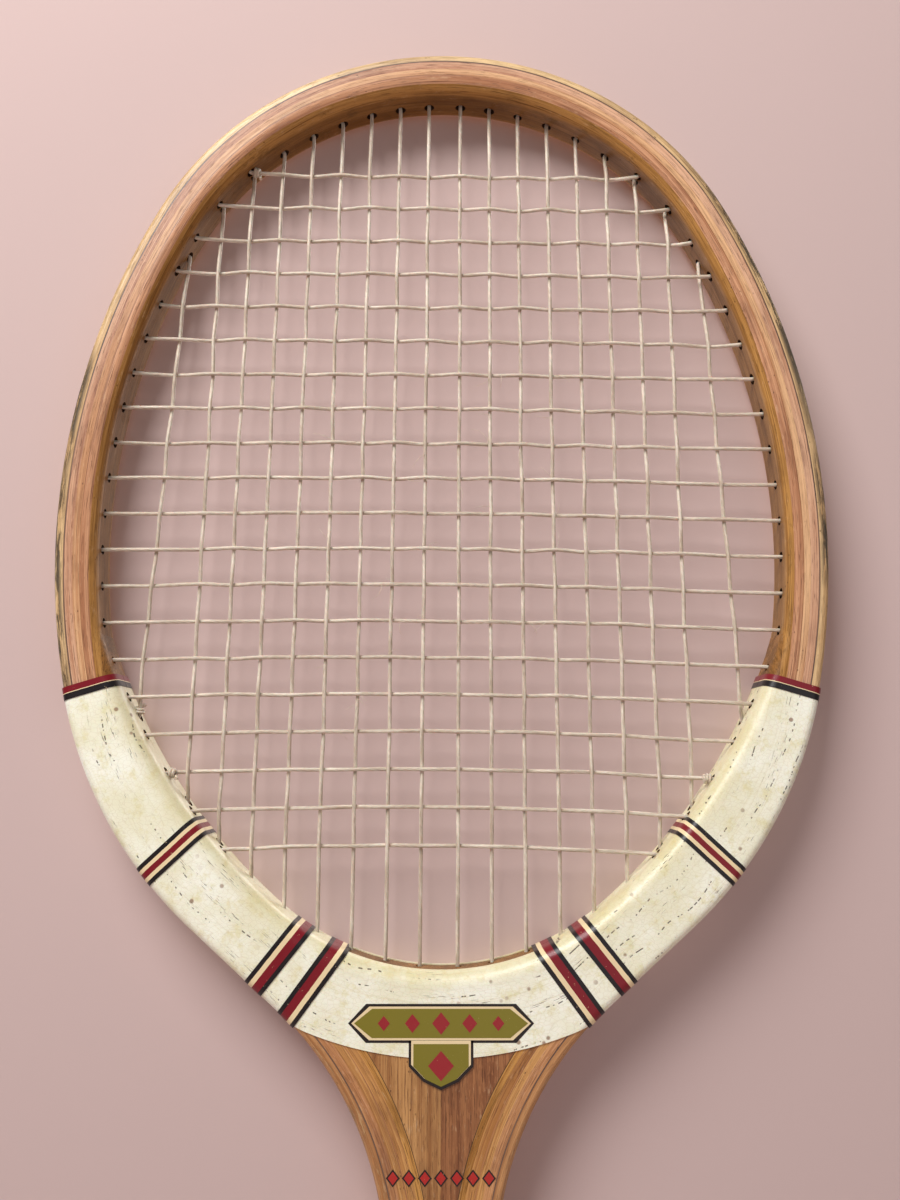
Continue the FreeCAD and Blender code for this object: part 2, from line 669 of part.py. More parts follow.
crest_z, crest_half, crest_rise, crest_point = 389.0, 26.0, 5.2, 5.0
shield_half, shield_foot = 9.0, 12.5
crest = transfer("Crest", [[
    (-crest_half, crest_z), (-crest_half + crest_point, crest_z + crest_rise),
    (crest_half - crest_point, crest_z + crest_rise), (crest_half, crest_z),
    (crest_half - crest_point, crest_z - crest_rise), (shield_half, crest_z - crest_rise),
    (shield_half, crest_z - crest_rise - shield_foot / 2), (0, crest_z - crest_rise - shield_foot),
    (-shield_half, crest_z - crest_rise - shield_foot / 2), (-shield_half, crest_z - crest_rise),
    (-crest_half + crest_point, crest_z - crest_rise)]], "Dims.transfer_thick")
keep("throat_crest", crest)
keep("vellum_throat_front", cut("VellumUnderCrest", front_vellum, crest))

diamond_z, diamond_pitch, diamond_half_width, diamond_half_height = 348.3, 4.4, 1.5, 1.9
diamonds = [rhombus(diamond_pitch * place, diamond_z, diamond_half_width, diamond_half_height)
            for place in range(-3, 4)]
keep("throat_diamonds", transfer("Diamonds", diamonds, "Dims.diamond_thick"))


# ---------------------------------------------------------------- handle

def body(label):
    """A PartDesign body named after its piece."""
    made = feature("PartDesign::Body", f"Body_{label}")
    return keep(label, made)


def plane_sketch(owner, name, role):
    """A sketch on one of a body's own origin planes."""
    sketch = owner.newObject("Sketcher::SketchObject", name)
    plane = next(item for item in owner.Origin.OriginFeatures if item.Role == role)
    sketch.AttachmentSupport = (plane, "")
    sketch.MapMode = "FlatFace"
    return sketch


def bound_polygon(sketch, corners):
    """Closed lines through corners given as pairs of expressions on the sheet's cells."""
    values = [tuple(float(sheet.evalExpression(text)) for text in corner) for corner in corners]
    count = len(values)
    for index, (across, along) in enumerate(values):
        next_across, next_along = values[(index + 1) % count]
        sketch.addGeometry(Part.LineSegment(Vec(across, along, 0), Vec(next_across, next_along, 0)))
    for index in range(count):
        sketch.addConstraint(Sketcher.Constraint("Coincident", index, 2, (index + 1) % count, 1))
    for index, ((across, along), (across_text, along_text)) in enumerate(zip(values, corners)):
        bind(sketch, Sketcher.Constraint("DistanceX", -1, 1, index, 1, across), across_text)
        bind(sketch, Sketcher.Constraint("DistanceY", -1, 1, index, 1, along), along_text)


def pad(owner, name, sketch, length, start=None):
    """A pad of the sketch, lifted to its starting height by an expression when one is given."""
    if start:
        sketch.setExpression("AttachmentOffset.Base.z", start)
    made = owner.newObject("PartDesign::Pad", name)
    made.Profile = sketch
    made.setExpression("Length", length)
    return made


def scarf(owner, name, role, corners):
    """Cuts a body's upper end to a slope, with a triangle seen from the side."""
    sketch = plane_sketch(owner, f"{name}Line", role)
    bound_polygon(sketch, corners)
    made = owner.newObject("PartDesign::Pocket", name)
    made.Profile = sketch
    made.Type = "ThroughAll"
    made.Midplane = True
    return made


CORE_X, CORE_Y = "Dims.shaft_half_width", "Dims.frame_depth / 2"
WOOD_X, WOOD_Y = "Dims.wood_handle_width / 2", "Dims.wood_handle_depth / 2"
CORNER_SUM = f"({WOOD_X} + {WOOD_Y} - Dims.handle_corner)"
PAD_LENGTH = "Dims.handle_top + Dims.handle_taper - Dims.cap_thick"
SCARF_TOP = "Dims.handle_top + Dims.handle_taper + 1"

for label, sign in (("handle_pallet_front", "-1"), ("handle_pallet_back", "1")):
    pallet = body(label)
    profile = plane_sketch(pallet, f"{label}_profile", "XY_Plane")
    bound_polygon(profile, [
        (f"-({CORNER_SUM} - {CORE_Y})", f"{sign} * {CORE_Y}"),
        (f"{CORNER_SUM} - {CORE_Y}", f"{sign} * {CORE_Y}"),
        (f"{WOOD_X} - Dims.handle_corner", f"{sign} * {WOOD_Y}"),
        (f"-({WOOD_X} - Dims.handle_corner)", f"{sign} * {WOOD_Y}")])
    pad(pallet, f"{label}_pad", profile, PAD_LENGTH, "Dims.cap_thick")
    scarf(pallet, f"{label}_scarf", "YZ_Plane", [
        (f"{sign} * ({WOOD_Y} + 1)", "Dims.handle_top"), (f"{sign} * {WOOD_Y}", "Dims.handle_top"),
        (f"{sign} * ({CORE_Y} + 0.4)", SCARF_TOP), (f"{sign} * ({WOOD_Y} + 1)", SCARF_TOP)])

for label, sign in (("handle_flake_left", "-1"), ("handle_flake_right", "1")):
    flake = body(label)
    profile = plane_sketch(flake, f"{label}_profile", "XY_Plane")
    bound_polygon(profile, [
        (f"{sign} * {CORE_X}", f"-({CORNER_SUM} - {CORE_X})"),
        (f"{sign} * {CORE_X}", f"{CORNER_SUM} - {CORE_X}"),
        (f"{sign} * {WOOD_X}", f"{WOOD_Y} - Dims.handle_corner"),
        (f"{sign} * {WOOD_X}", f"-({WOOD_Y} - Dims.handle_corner)")])
    pad(flake, f"{label}_pad", profile, PAD_LENGTH, "Dims.cap_thick")
    scarf(flake, f"{label}_scarf", "XZ_Plane", [
        (f"{sign} * ({WOOD_X} + 1)", "Dims.handle_top"), (f"{sign} * {WOOD_X}", "Dims.handle_top"),
        (f"{sign} * ({CORE_X} + 0.4)", SCARF_TOP), (f"{sign} * ({WOOD_X} + 1)", SCARF_TOP)])


def octagon(grow):
    """Corners of the handle's section grown outwards by an expression, from the front right."""
    reach_x, reach_y = f"({WOOD_X} + {grow})", f"({WOOD_Y} + {grow})"
    # An octagon keeps its corner angle when it grows, so its corner cut grows by 2 - root 2.
    corner = f"(Dims.handle_corner + 0.586 * ({grow}))"
    signs = ((1, 1), (-1, 1), (-1, -1), (1, -1))
    points = []
    for index, (sx, sy) in enumerate(signs):
        on_side = (f"{sx} * {reach_x}", f"{sy} * ({reach_y} - {corner})")
        on_face = (f"{sx} * ({reach_x} - {corner})", f"{sy} * {reach_y}")
        points += [on_side, on_face] if index % 2 == 0 else [on_face, on_side]
    return points


def octagon_loft(name, *sections):
    """A straight-sided solid through octagons given as (height, growth) expressions."""
    outlines = []
    for index, (height, grow) in enumerate(sections):
        sketch = feature("Sketcher::SketchObject", f"{name}Section{index}")
        bound_polygon(sketch, octagon(grow))
        sketch.setExpression("Placement.Base.z", height)
        outlines.append(sketch)
    return feature("Part::Loft", name, Sections=outlines, Solid=True, Ruled=True)


FLARE_TOP = "Dims.cap_thick + Dims.flare_height"
handle_wood = octagon_loft("HandleWood", ("Dims.cap_thick", "0"), (SCARF_TOP, "0"))
flare_solid = octagon_loft("FlareSolid", ("Dims.cap_thick", "Dims.flare_growth"), (FLARE_TOP, "0.3"))
keep("butt_flare", cut("ButtFlare", flare_solid, handle_wood))
bare_handle = fused("BareHandle", [handle_wood, flare_solid])
# The leather is pared thin where the collar laps over it.
COLLAR_FOOT = "Dims.leather_top - Dims.collar_lap"
PARED = "Dims.leather_thick - Dims.leather_paring"
leather_solid = octagon_loft(
    "LeatherSolid", ("Dims.cap_thick", "Dims.flare_growth + Dims.leather_thick"),
    (FLARE_TOP, "Dims.leather_thick"), (COLLAR_FOOT, "Dims.leather_thick"),
    (f"{COLLAR_FOOT} + Dims.leather_paring", PARED), ("Dims.leather_top", PARED))
collar_solid = octagon_loft(
    "CollarSolid", (COLLAR_FOOT, "Dims.leather_thick + Dims.collar_thick"),
    ("Dims.leather_top", "Dims.leather_thick + Dims.collar_thick"),
    ("Dims.leather_top + Dims.collar_height", "Dims.collar_thick"))
cap_solid = octagon_loft("CapSolid", ("0", "Dims.flare_growth + Dims.leather_thick - 1"),
                         ("1", "Dims.flare_growth + Dims.leather_thick"),
                         ("Dims.cap_thick", "Dims.flare_growth + Dims.leather_thick"))


def cylinder(name, radius, height, base, direction):
    rod = feature("Part::Cylinder", name)
    rod.setExpression("Radius", radius)
    rod.setExpression("Height", height)
    rod.Placement = FreeCAD.Placement(base, FreeCAD.Rotation(ALONG, direction))
    return rod


def butt_nail(name, side):
    """A flat-headed nail, flush with the cap's end face and driven into a handle pallet."""
    base = THROUGH * side * dim("nail_offset")
    head = cylinder(f"{name}Head", "Dims.tack_head_radius", "Dims.nail_head_thick", base, ALONG)
    shank = cylinder(f"{name}Shank", "Dims.tack_shank_radius", "Dims.nail_length", base, ALONG)
    return fused(name, [head, shank])


def dome_tack(name, base):
    """A round-headed tack on the front of the grip, with its shank running back into the handle."""
    head = feature("Part::Sphere", f"{name}Head", Angle1=0)
    head.setExpression("Radius", "Dims.tack_head_radius")
    head.Placement = FreeCAD.Placement(base, FreeCAD.Rotation(ALONG, -THROUGH))
    shank = cylinder(f"{name}Shank", "Dims.tack_shank_radius", "Dims.tack_length", base, THROUGH)
    return fused(name, [head, shank])


nails = keep("butt_tacks", fused("ButtTacks", [butt_nail("FrontNail", -1), butt_nail("BackNail", 1)]))
collar_front = dim("wood_handle_depth") / 2 + dim("leather_thick") + dim("collar_thick")
collar_tack = keep("collar_tack", dome_tack(
    "CollarTack", Vec(0, -collar_front, dim("leather_top") - dim("collar_lap") / 2)))

leather = cut("GripLeather", leather_solid, bare_handle)
keep("grip_collar", cut("GripCollar", cut("CollarBlank", cut("CollarHollow", collar_solid, bare_handle),
                                          leather), collar_tack))
keep("grip_leather", cut("LeatherPierced", leather, collar_tack))
keep("butt_cap", cut("ButtCap", cap_solid, nails))
for label in ("handle_pallet_front", "handle_pallet_back"):
    whole = nodes[label]
    whole.Label = f"{label}_whole"
    nailed = cut(f"Nailed_{label}", cut(f"Pierced_{label}", whole, nails), collar_tack)
    keep(label, nailed)


# ---------------------------------------------------------------- knots of the string ends

def knot(name, start, towards):
    """Two turns of string wrapped round a run just inside the bed's edge."""
    along = (towards - start).normalize()
    turns = []
    for count in (1, 2):
        wrap = feature("Part::Torus", f"{name}Turn{count}")
        wrap.setExpression("Radius1", "Dims.knot_ring_radius")
        wrap.setExpression("Radius2", "Dims.knot_wrap_radius")
        centre = start + along * (dim("knot_start") + dim("knot_pitch") * count)
        wrap.Placement = FreeCAD.Placement(centre, FreeCAD.Rotation(ALONG, along))
        turns.append(wrap)
    return fused(name, turns)


def knot_ends():
    """The holes where string ends are tied off, with a point further along each run."""
    left_main = Vec(main_x(-MAIN_PAIRS, MID_BED), 0, MID_BED)
    ends = [(FOOT_ANCHORS[-MAIN_PAIRS].mouth, left_main)]
    for row, side in ((0, -1), (17, -1), (17, 1)):
        ends.append((CROSS_ANCHORS[row, side].mouth, Vec(0, 0, cross_height(row))))
    return ends


keep("string_knots", fused("StringKnots", [knot(f"Knot{index}", *ends)
                                           for index, ends in enumerate(knot_ends())]))


# ---------------------------------------------------------------- check and write

doc.recompute()
for item in doc.Objects:
    if "Invalid" in item.State or "Error" in item.State:
        raise RuntimeError(f"{item.Label} failed: {item.State}")
for label, piece in nodes.items():
    shape = piece.Shape
    if shape.isNull() or not shape.isValid() or not shape.Solids:
        raise RuntimeError(f"{label} has no valid solid")
    shape.exportStep(f"parts/{label}.step")
    print(f"{label}: {len(shape.Solids)} solid(s), {shape.Volume / 1000:.2f} cm3")
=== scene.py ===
import json
import math
import random

import bmesh
import bpy
import numpy as np
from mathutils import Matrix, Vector
from mathutils.bvhtree import BVHTree
from mathutils.interpolate import poly_3d_calc


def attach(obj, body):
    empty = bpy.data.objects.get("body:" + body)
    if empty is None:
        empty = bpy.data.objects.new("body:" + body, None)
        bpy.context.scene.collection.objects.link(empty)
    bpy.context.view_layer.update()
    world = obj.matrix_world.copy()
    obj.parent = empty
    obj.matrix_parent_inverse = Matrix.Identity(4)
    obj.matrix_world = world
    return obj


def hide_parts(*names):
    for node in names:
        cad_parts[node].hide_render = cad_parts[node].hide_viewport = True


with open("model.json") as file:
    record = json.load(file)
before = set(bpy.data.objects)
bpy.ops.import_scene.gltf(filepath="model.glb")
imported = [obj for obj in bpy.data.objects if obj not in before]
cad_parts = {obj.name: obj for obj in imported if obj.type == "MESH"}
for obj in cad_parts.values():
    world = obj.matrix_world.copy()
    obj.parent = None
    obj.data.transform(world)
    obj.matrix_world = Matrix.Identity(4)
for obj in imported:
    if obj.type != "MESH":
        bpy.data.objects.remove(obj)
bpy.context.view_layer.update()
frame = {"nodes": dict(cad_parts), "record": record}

# A laminated wooden racket. Lengths below are millimetres in the racket's frame: X across the head,
# Y through the thickness with the front towards -Y, Z from the butt to the crown. Meshes are
# written in metres.
MM = 0.001
NODES = frame["nodes"]

TOP = 686.0
HALF_DEPTH = 9.0
CROWN, FLANK, SHOULDER = (101.0, 61.0), (219.0, 102.0), (125.0, 138.5)
THROAT_RADIUS, SHAFT_HALF = 94.0, 15.0
PLIES = (("outer_ash_ply", 2.9), ("outer_fibre_ply", 0.4), ("beech_ply", 2.4), ("centre_ash_ply", 2.0),
         ("inner_fibre_ply", 0.3), ("mahogany_ply", 2.4), ("inner_ash_ply", 2.0))
STACK = sum(thick for _, thick in PLIES)
BED_TURNS = ((CROWN[0] - STACK, CROWN[1]), (FLANK[0] - STACK, 97.25), (14.5, 108.3), (176.4, 139.8))
CAP_TOP = 3.0
BOW_TOP = 499.0
BAND_HALF = 3.1


# ------------------------------------------------------------------ outlines

def trace(top, moves, step):
    """Walks down the right side from (0, top) along arcs (radius, end heading) and straights."""
    x, z, heading = 0.0, top, 0.0
    points, headings = [], []
    for radius, amount in moves:
        turn = 0.0 if radius is None else math.radians(amount) - heading
        length = amount if radius is None else abs(radius * turn)
        count = max(2, math.ceil(length / step))
        for index in range(count + 1):
            part = index / count
            angle = heading + turn * part
            if turn:
                signed = length / turn
                point = (x + signed * (math.sin(angle) - math.sin(heading)),
                         z + signed * (math.cos(angle) - math.cos(heading)))
            else:
                point = (x + length * part * math.cos(heading), z - length * part * math.sin(heading))
            if index or not points:
                points.append(point)
                headings.append(angle)
        x, z = points[-1]
        heading += turn
    return np.array(points), np.array(headings)


def frame_moves():
    """Moves of the outer edge from the crown to the butt."""
    head = [CROWN, FLANK, SHOULDER]
    points, headings = trace(TOP, head, 5.0)
    x, z = points[-1]
    heading = headings[-1]
    slope = (SHAFT_HALF - x + THROAT_RADIUS * (1 - math.sin(heading))) / math.cos(heading)
    shaft_top = z - slope * math.sin(heading) + THROAT_RADIUS * math.cos(heading)
    return [*head, (None, slope), (THROAT_RADIUS, 90.0), (None, shaft_top - CAP_TOP)]


def bed_moves():
    """Moves of the bed's edge from its top to the middle of the throat."""
    points, headings = trace(TOP - STACK, BED_TURNS, 5.0)
    return [*BED_TURNS, (points[-1][0] / math.sin(headings[-1]), 180.0)]


class Outline:
    """A symmetric outline as points, inward normals and arc length from the middle of its top."""

    def __init__(self, top, moves, step):
        right, headings = trace(top, moves, step)
        normals = np.stack([-np.sin(headings), -np.cos(headings)], 1)
        flip = np.array([-1.0, 1.0])
        self.points = np.concatenate([right[:0:-1] * flip, right])
        self.normals = np.concatenate([normals[:0:-1] * flip, normals])
        self.headings = np.concatenate([-headings[:0:-1], headings])
        steps = np.linalg.norm(np.diff(self.points, axis=0), axis=1)
        self.length = np.concatenate([[0.0], np.cumsum(steps)])
        self.length -= self.length[len(right) - 1]

    def hit(self, start, direction):
        """Distance along a ray to the outline, and the index of the segment it meets."""
        first, run = self.points[:-1], np.diff(self.points, axis=0)
        gap = first - start
        cross = direction[0] * run[:, 1] - direction[1] * run[:, 0]
        cross = np.where(abs(cross) < 1e-12, 1e-12, cross)
        far = (gap[:, 0] * run[:, 1] - gap[:, 1] * run[:, 0]) / cross
        along = (gap[:, 0] * direction[1] - gap[:, 1] * direction[0]) / cross
        good = (far > 1e-6) & (along >= -1e-9) & (along <= 1 + 1e-9)
        far = np.where(good, far, np.inf)
        index = int(np.argmin(far))
        return far[index], index

    def at(self, length):
        """Point and inward normal at an arc length."""
        place = [np.interp(length, self.length, self.points[:, axis]) for axis in (0, 1)]
        normal = np.array([np.interp(length, self.length, self.normals[:, axis]) for axis in (0, 1)])
        return np.array(place), normal / np.linalg.norm(normal)


RIM = Outline(TOP, frame_moves(), 1.5)
BED = Outline(TOP - STACK, bed_moves(), 1.0)
# The bed's lowest edge is part of a circle round this height on the centre line.
BOW_CENTRE = BED.points[-1][1] + bed_moves()[-1][0]


# ------------------------------------------------------------------ meshes

def face_outwards(mesh):
    """Turns every face of a mesh so that its normal points out."""
    shell = bmesh.new()
    shell.from_mesh(mesh)
    bmesh.ops.recalc_face_normals(shell, faces=shell.faces)
    shell.to_mesh(mesh)
    shell.free()


def linked(name, data):
    """A new object in the scene that holds the given mesh, light or camera."""
    thing = bpy.data.objects.new(name, data)
    bpy.context.scene.collection.objects.link(thing)
    return thing


def build(name, vertices, faces, material, attributes=None, angle=32.0, stands_for=None, slot=None):
    """Makes a piece from millimetre vertices, riding on the racket's one body."""
    mesh = bpy.data.meshes.new(name)
    vertices = np.asarray(vertices, float) * MM
    mesh.from_pydata(vertices.tolist(), [], [list(face) for face in faces])
    for key, values in (attributes or {}).items():
        values = np.asarray(values, np.float32)
        kind = "FLOAT_VECTOR" if values.ndim == 2 else "FLOAT"
        field = mesh.attributes.new(key, kind, "POINT")
        field.data.foreach_set("vector" if values.ndim == 2 else "value", values.ravel())
    face_outwards(mesh)
    mesh.polygons.foreach_set("use_smooth", [True] * len(mesh.polygons))
    mesh.set_sharp_from_angle(angle=math.radians(angle))
    piece = linked(name, mesh)
    mesh.materials.append(material)
    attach(piece, "root")
    if stands_for:
        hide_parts(*stands_for)
    return piece


def ring_faces(rows, columns):
    """Quads between rings of vertices that are stored one ring after another."""
    faces = []
    for row in range(rows - 1):
        below = row + 1
        for column in range(columns):
            beside = (column + 1) % columns
            faces.append((row * columns + column, below * columns + column,
                          below * columns + beside, row * columns + beside))
    return faces


def closed_faces(rows, columns):
    """Quads between rings of vertices, with a flat face over each end."""
    total = rows * columns
    last_ring = tuple(range(total - 1, total - columns - 1, -1))
    return [*ring_faces(rows, columns), tuple(range(columns)), last_ring]


def sweep(name, places, grain, material, **extra):
    """A closed section carried along a row of stations, with flat ends."""
    rows, columns = places.shape[:2]
    faces = closed_faces(rows, columns)
    fields = {key: value.reshape(rows * columns, -1).squeeze() for key, value in grain.items()}
    return build(name, places.reshape(-1, 3), faces, material, fields, **extra)


def merged(parts):
    """Joins (vertices, faces, values) groups into one set of arrays."""
    vertices, faces, values, base = [], [], [], 0
    for points, polygons, fields in parts:
        vertices.append(points)
        values.append(fields)
        faces += [tuple(index + base for index in face) for face in polygons]
        base += len(points)
    return np.concatenate(vertices), faces, np.concatenate(values)


# ------------------------------------------------------------------ materials

class Shader:
    """One procedural material, written as short node calls. Lengths are millimetres."""

    def __init__(self, name):
        self.material = bpy.data.materials.new(name)
        self.material.use_nodes = True
        self.tree = self.material.node_tree
        self.surface = self.tree.nodes["Principled BSDF"]

    def add(self, kind, inputs=(), **settings):
        node = self.tree.nodes.new(kind)
        for key, value in settings.items():
            setattr(node, key, value)
        for key, value in dict(inputs).items():
            self.set(node, key, value)
        return node

    def set(self, node, key, value):
        socket = node.inputs[key]
        if isinstance(value, bpy.types.NodeSocket):
            self.tree.links.new(value, socket)
        elif socket.type == "RGBA" and len(value) == 3:
            socket.default_value = (*value, 1.0)
        else:
            socket.default_value = value

    def attribute(self, name):
        return self.add("ShaderNodeAttribute", attribute_name=name)

    def grain(self):
        """Distance along the piece, across it and through it."""
        return self.attribute("grain").outputs["Vector"]

    def upright_grain(self):
        """The racket's frame with its height first, for timber that grows upwards."""
        where = self.place()
        turned = self.add("ShaderNodeCombineXYZ", {"X": self.axis(where, "Z"), "Y": self.axis(where, "X"),
                                                   "Z": self.axis(where, "Y")})
        return turned.outputs["Vector"]

    def place(self):
        """Position in the racket's frame."""
        where = self.add("ShaderNodeTexCoord").outputs["Object"]
        return self.scaled(where, (1 / MM,) * 3)

    def scaled(self, vector, factors):
        node = self.add("ShaderNodeVectorMath", {0: vector, 1: factors}, operation="MULTIPLY")
        return node.outputs[0]

    def shifted(self, vector, offset):
        node = self.add("ShaderNodeVectorMath", {0: vector, 1: offset}, operation="ADD")
        return node.outputs[0]

    def axis(self, vector, name):
        return self.add("ShaderNodeSeparateXYZ", {"Vector": vector}).outputs[name]

    def math(self, operation, first, second=0.0):
        node = self.add("ShaderNodeMath", {0: first, 1: second}, operation=operation)
        return node.outputs[0]

    def times(self, *values):
        product = values[0]
        for value in values[1:]:
            product = self.math("MULTIPLY", product, value)
        return product

    def noise(self, vector, size, detail=4.0, rough=0.55, twist=0.0):
        """Cloudy values from 0 to 1, in patches of the given size along each axis."""
        sizes = (size,) * 3 if isinstance(size, (int, float)) else size
        where = self.scaled(vector, tuple(1 / length for length in sizes))
        node = self.add("ShaderNodeTexNoise", {"Vector": where, "Scale": 1.0, "Detail": detail,
                                               "Roughness": rough, "Distortion": twist})
        return node.outputs["Fac"]

    def cells(self, vector, size, feature="F1", output="Distance"):
        sizes = (size,) * 3 if isinstance(size, (int, float)) else size
        where = self.scaled(vector, tuple(1 / length for length in sizes))
        node = self.add("ShaderNodeTexVoronoi", {"Vector": where, "Scale": 1.0}, feature=feature)
        return node.outputs[output]

    def fade(self, value, low, high):
        """0 below low, 1 above high, smooth between; low may be the larger."""
        node = self.add("ShaderNodeMapRange", {"Value": value, "From Min": low, "From Max": high},
                        interpolation_type="SMOOTHSTEP")
        return node.outputs["Result"]

    def level(self, value, low, high):
        """Turns 0 to 1 into low to high."""
        node = self.add("ShaderNodeMapRange", {"Value": value, "To Min": low, "To Max": high})
        return node.outputs["Result"]

    def mix(self, factor, first, second, mode="MIX"):
        node = self.add("ShaderNodeMix", data_type="RGBA", blend_type=mode)
        for index, value in ((0, factor), (6, first), (7, second)):
            self.set(node, index, value)
        return node.outputs[2]

    def stripes(self, value, low, high, bands):
        """Flat colours side by side, given as (share of the width, colour)."""
        part = self.add("ShaderNodeMapRange", {"Value": value, "From Min": low, "From Max": high})
        node = self.add("ShaderNodeValToRGB", {"Fac": part.outputs["Result"]})
        ramp = node.color_ramp
        ramp.interpolation = "CONSTANT"
        total, start = sum(share for share, _ in bands), 0.0
        for index, (share, colour) in enumerate(bands):
            stop = ramp.elements[0] if index == 0 else ramp.elements.new(start / total)
            stop.position = start / total
            stop.color = (*colour, 1.0)
            start += share
        ramp.elements.remove(ramp.elements[-1])
        return node.outputs["Color"]

    def bump(self, height, depth):
        """Bends the surface as if the height from 0 to 1 stood for a depth in millimetres."""
        node = self.add("ShaderNodeBump", {"Height": height, "Distance": depth * MM, "Strength": 1.0})
        if self.surface.inputs["Normal"].links:
            self.set(node, "Normal", self.surface.inputs["Normal"].links[0].from_socket)
        self.set(self.surface, "Normal", node.outputs["Normal"])

    def finish(self, **inputs):
        """Sets the surface's inputs, with underscores for spaces."""
        for key, value in inputs.items():
            self.set(self.surface, key.replace("_", " "), value)
        return self.material


def srgb(red, green, blue):
    """Linear colour of a display colour from 0 to 255."""
    return tuple((value / 255 / 12.92) if value < 11 else ((value / 255 + 0.055) / 1.055) ** 2.4
                 for value in (red, green, blue))


INK, CRIMSON, BUFF = srgb(12, 14, 22), srgb(122, 10, 30), srgb(236, 214, 170)
OLIVE = srgb(124, 116, 34)


def wood(name, pale, deep, pore, flecks=0.5, rays=0.0, swept=True, wear_and_shade=None, throat=None, gloss=0.22):
    """Varnished timber with streaks, growth lines, short pores and grime."""
    make = Shader(name)
    grain = make.grain() if swept else make.upright_grain()
    broad = make.noise(grain, (90.0, 6.0, 9.0), 3.0)
    lines = make.noise(grain, (140.0, 0.8, 2.5), 5.0, 0.65, 0.3)
    fine = make.noise(grain, (26.0, 0.16, 0.3), 3.0, 0.6)
    tone = make.math("ADD", make.times(broad, 0.45), make.math("ADD", make.times(lines, 0.4),
                                                              make.times(fine, 0.15)))
    colour = make.mix(make.fade(tone, 0.41, 0.59), deep, pale)
    if throat:
        below = make.fade(make.math("ABSOLUTE", make.axis(grain, "X")), 330.0, 380.0)
        golden = make.mix(make.fade(tone, 0.40, 0.60), throat[0], throat[1])
        colour = make.mix(make.times(below, 0.85), colour, golden)
    dash = make.noise(grain, (6.0, 0.22, 0.3), 2.0, 0.5)
    pores = make.fade(dash, 0.60, 0.70)
    colour = make.mix(make.times(pores, flecks), colour, pore)
    if rays:
        ray = make.noise(make.shifted(grain, (37.0, 11.0, 5.0)), (2.6, 0.5, 0.35), 1.0, 0.4)
        colour = make.mix(make.times(make.fade(ray, 0.60, 0.68), rays), colour, pale)
    cloud = make.noise(grain, (34.0, 12.0, 12.0), 5.0, 0.6)
    colour = make.mix(make.times(make.fade(cloud, 0.48, 0.70), 0.42), colour, pore)
    dust = make.fade(make.noise(grain, (5.0, 1.4, 1.4), 4.0, 0.7), 0.58, 0.72)
    colour = make.mix(make.times(dust, 0.30), colour, srgb(222, 188, 148))
    specks = make.fade(make.cells(grain, (2.6, 1.5, 1.5)), 0.17, 0.08)
    speckled = make.fade(make.noise(grain, (20.0, 6.0, 6.0), 2.0), 0.50, 0.62)
    colour = make.mix(make.times(specks, speckled, 0.7), colour, srgb(70, 42, 26))
    streaks = make.noise(make.shifted(grain, (9.0, 51.0, 3.0)), (30.0, 0.35, 1.0), 4.0, 0.7)
    colour = make.mix(make.times(make.fade(streaks, 0.56, 0.66), 0.6), colour, pore)
    hairs = make.noise(make.shifted(grain, (3.0, 17.0, 9.0)), (38.0, 0.13, 0.4), 3.0, 0.6)
    colour = make.mix(make.times(make.fade(hairs, 0.57, 0.63), 0.5), colour, pore)
    rough = make.level(make.noise(grain, (9.0, 3.0, 3.0), 4.0), 0.30, 0.56)
    make.bump(make.times(pores, -1.0), 0.06)
    make.bump(fine, 0.03)
    # This hook adds real wear and grime, and on the inner wall also painted shade.
    if wear_and_shade:
        colour, rough = wear_and_shade(make, grain, colour, rough)
    return make.finish(Base_Color=colour, Roughness=rough, Coat_Weight=gloss, Coat_Roughness=0.24,
                       Specular_IOR_Level=gloss * 1.4)


def bruised(make, grain, colour, rough):
    """Scuffs and black grime where the rim's outer edge has met the ground."""
    along, across = make.axis(grain, "X"), make.axis(grain, "Y")
    torn = make.noise(grain, (16.0, 1.3, 2.4), 6.0, 0.72)
    front = make.fade(make.axis(grain, "Z"), -3.5, -7.0)
    near_edge = make.times(make.fade(across, 3.0, 1.4), make.level(front, 0.12, 1.0))
    places = None
    for middle, reach in ((138.0, 62.0), (212.0, 26.0), (-232.0, 50.0), (-180.0, 26.0), (290.0, 22.0)):
        distance = make.math("ABSOLUTE", make.math("SUBTRACT", along, middle))
        here = make.fade(distance, reach, reach * 0.4)
        places = here if places is None else make.math("MAXIMUM", places, here)
    bare = make.times(make.fade(torn, 0.42, 0.52), places, near_edge)
    scuff = make.fade(make.noise(grain, (7.0, 0.8, 2.0), 5.0, 0.72), 0.54, 0.66)
    colour = make.mix(make.times(scuff, near_edge, 0.55), colour, srgb(216, 182, 132))
    rubbed = make.fade(make.noise(grain, (12.0, 1.2, 3.0), 5.0, 0.7), 0.55, 0.68)
    colour = make.mix(make.times(rubbed, near_edge, 0.5), colour, srgb(104, 84, 60))
    colour = make.mix(make.times(bare, 0.92), colour, srgb(66, 60, 52))
    make.bump(make.times(bare, -1.0), 0.3)
    make.bump(make.times(scuff, near_edge), 0.08)
    return colour, make.math("ADD", rough, make.times(bare, 0.4))


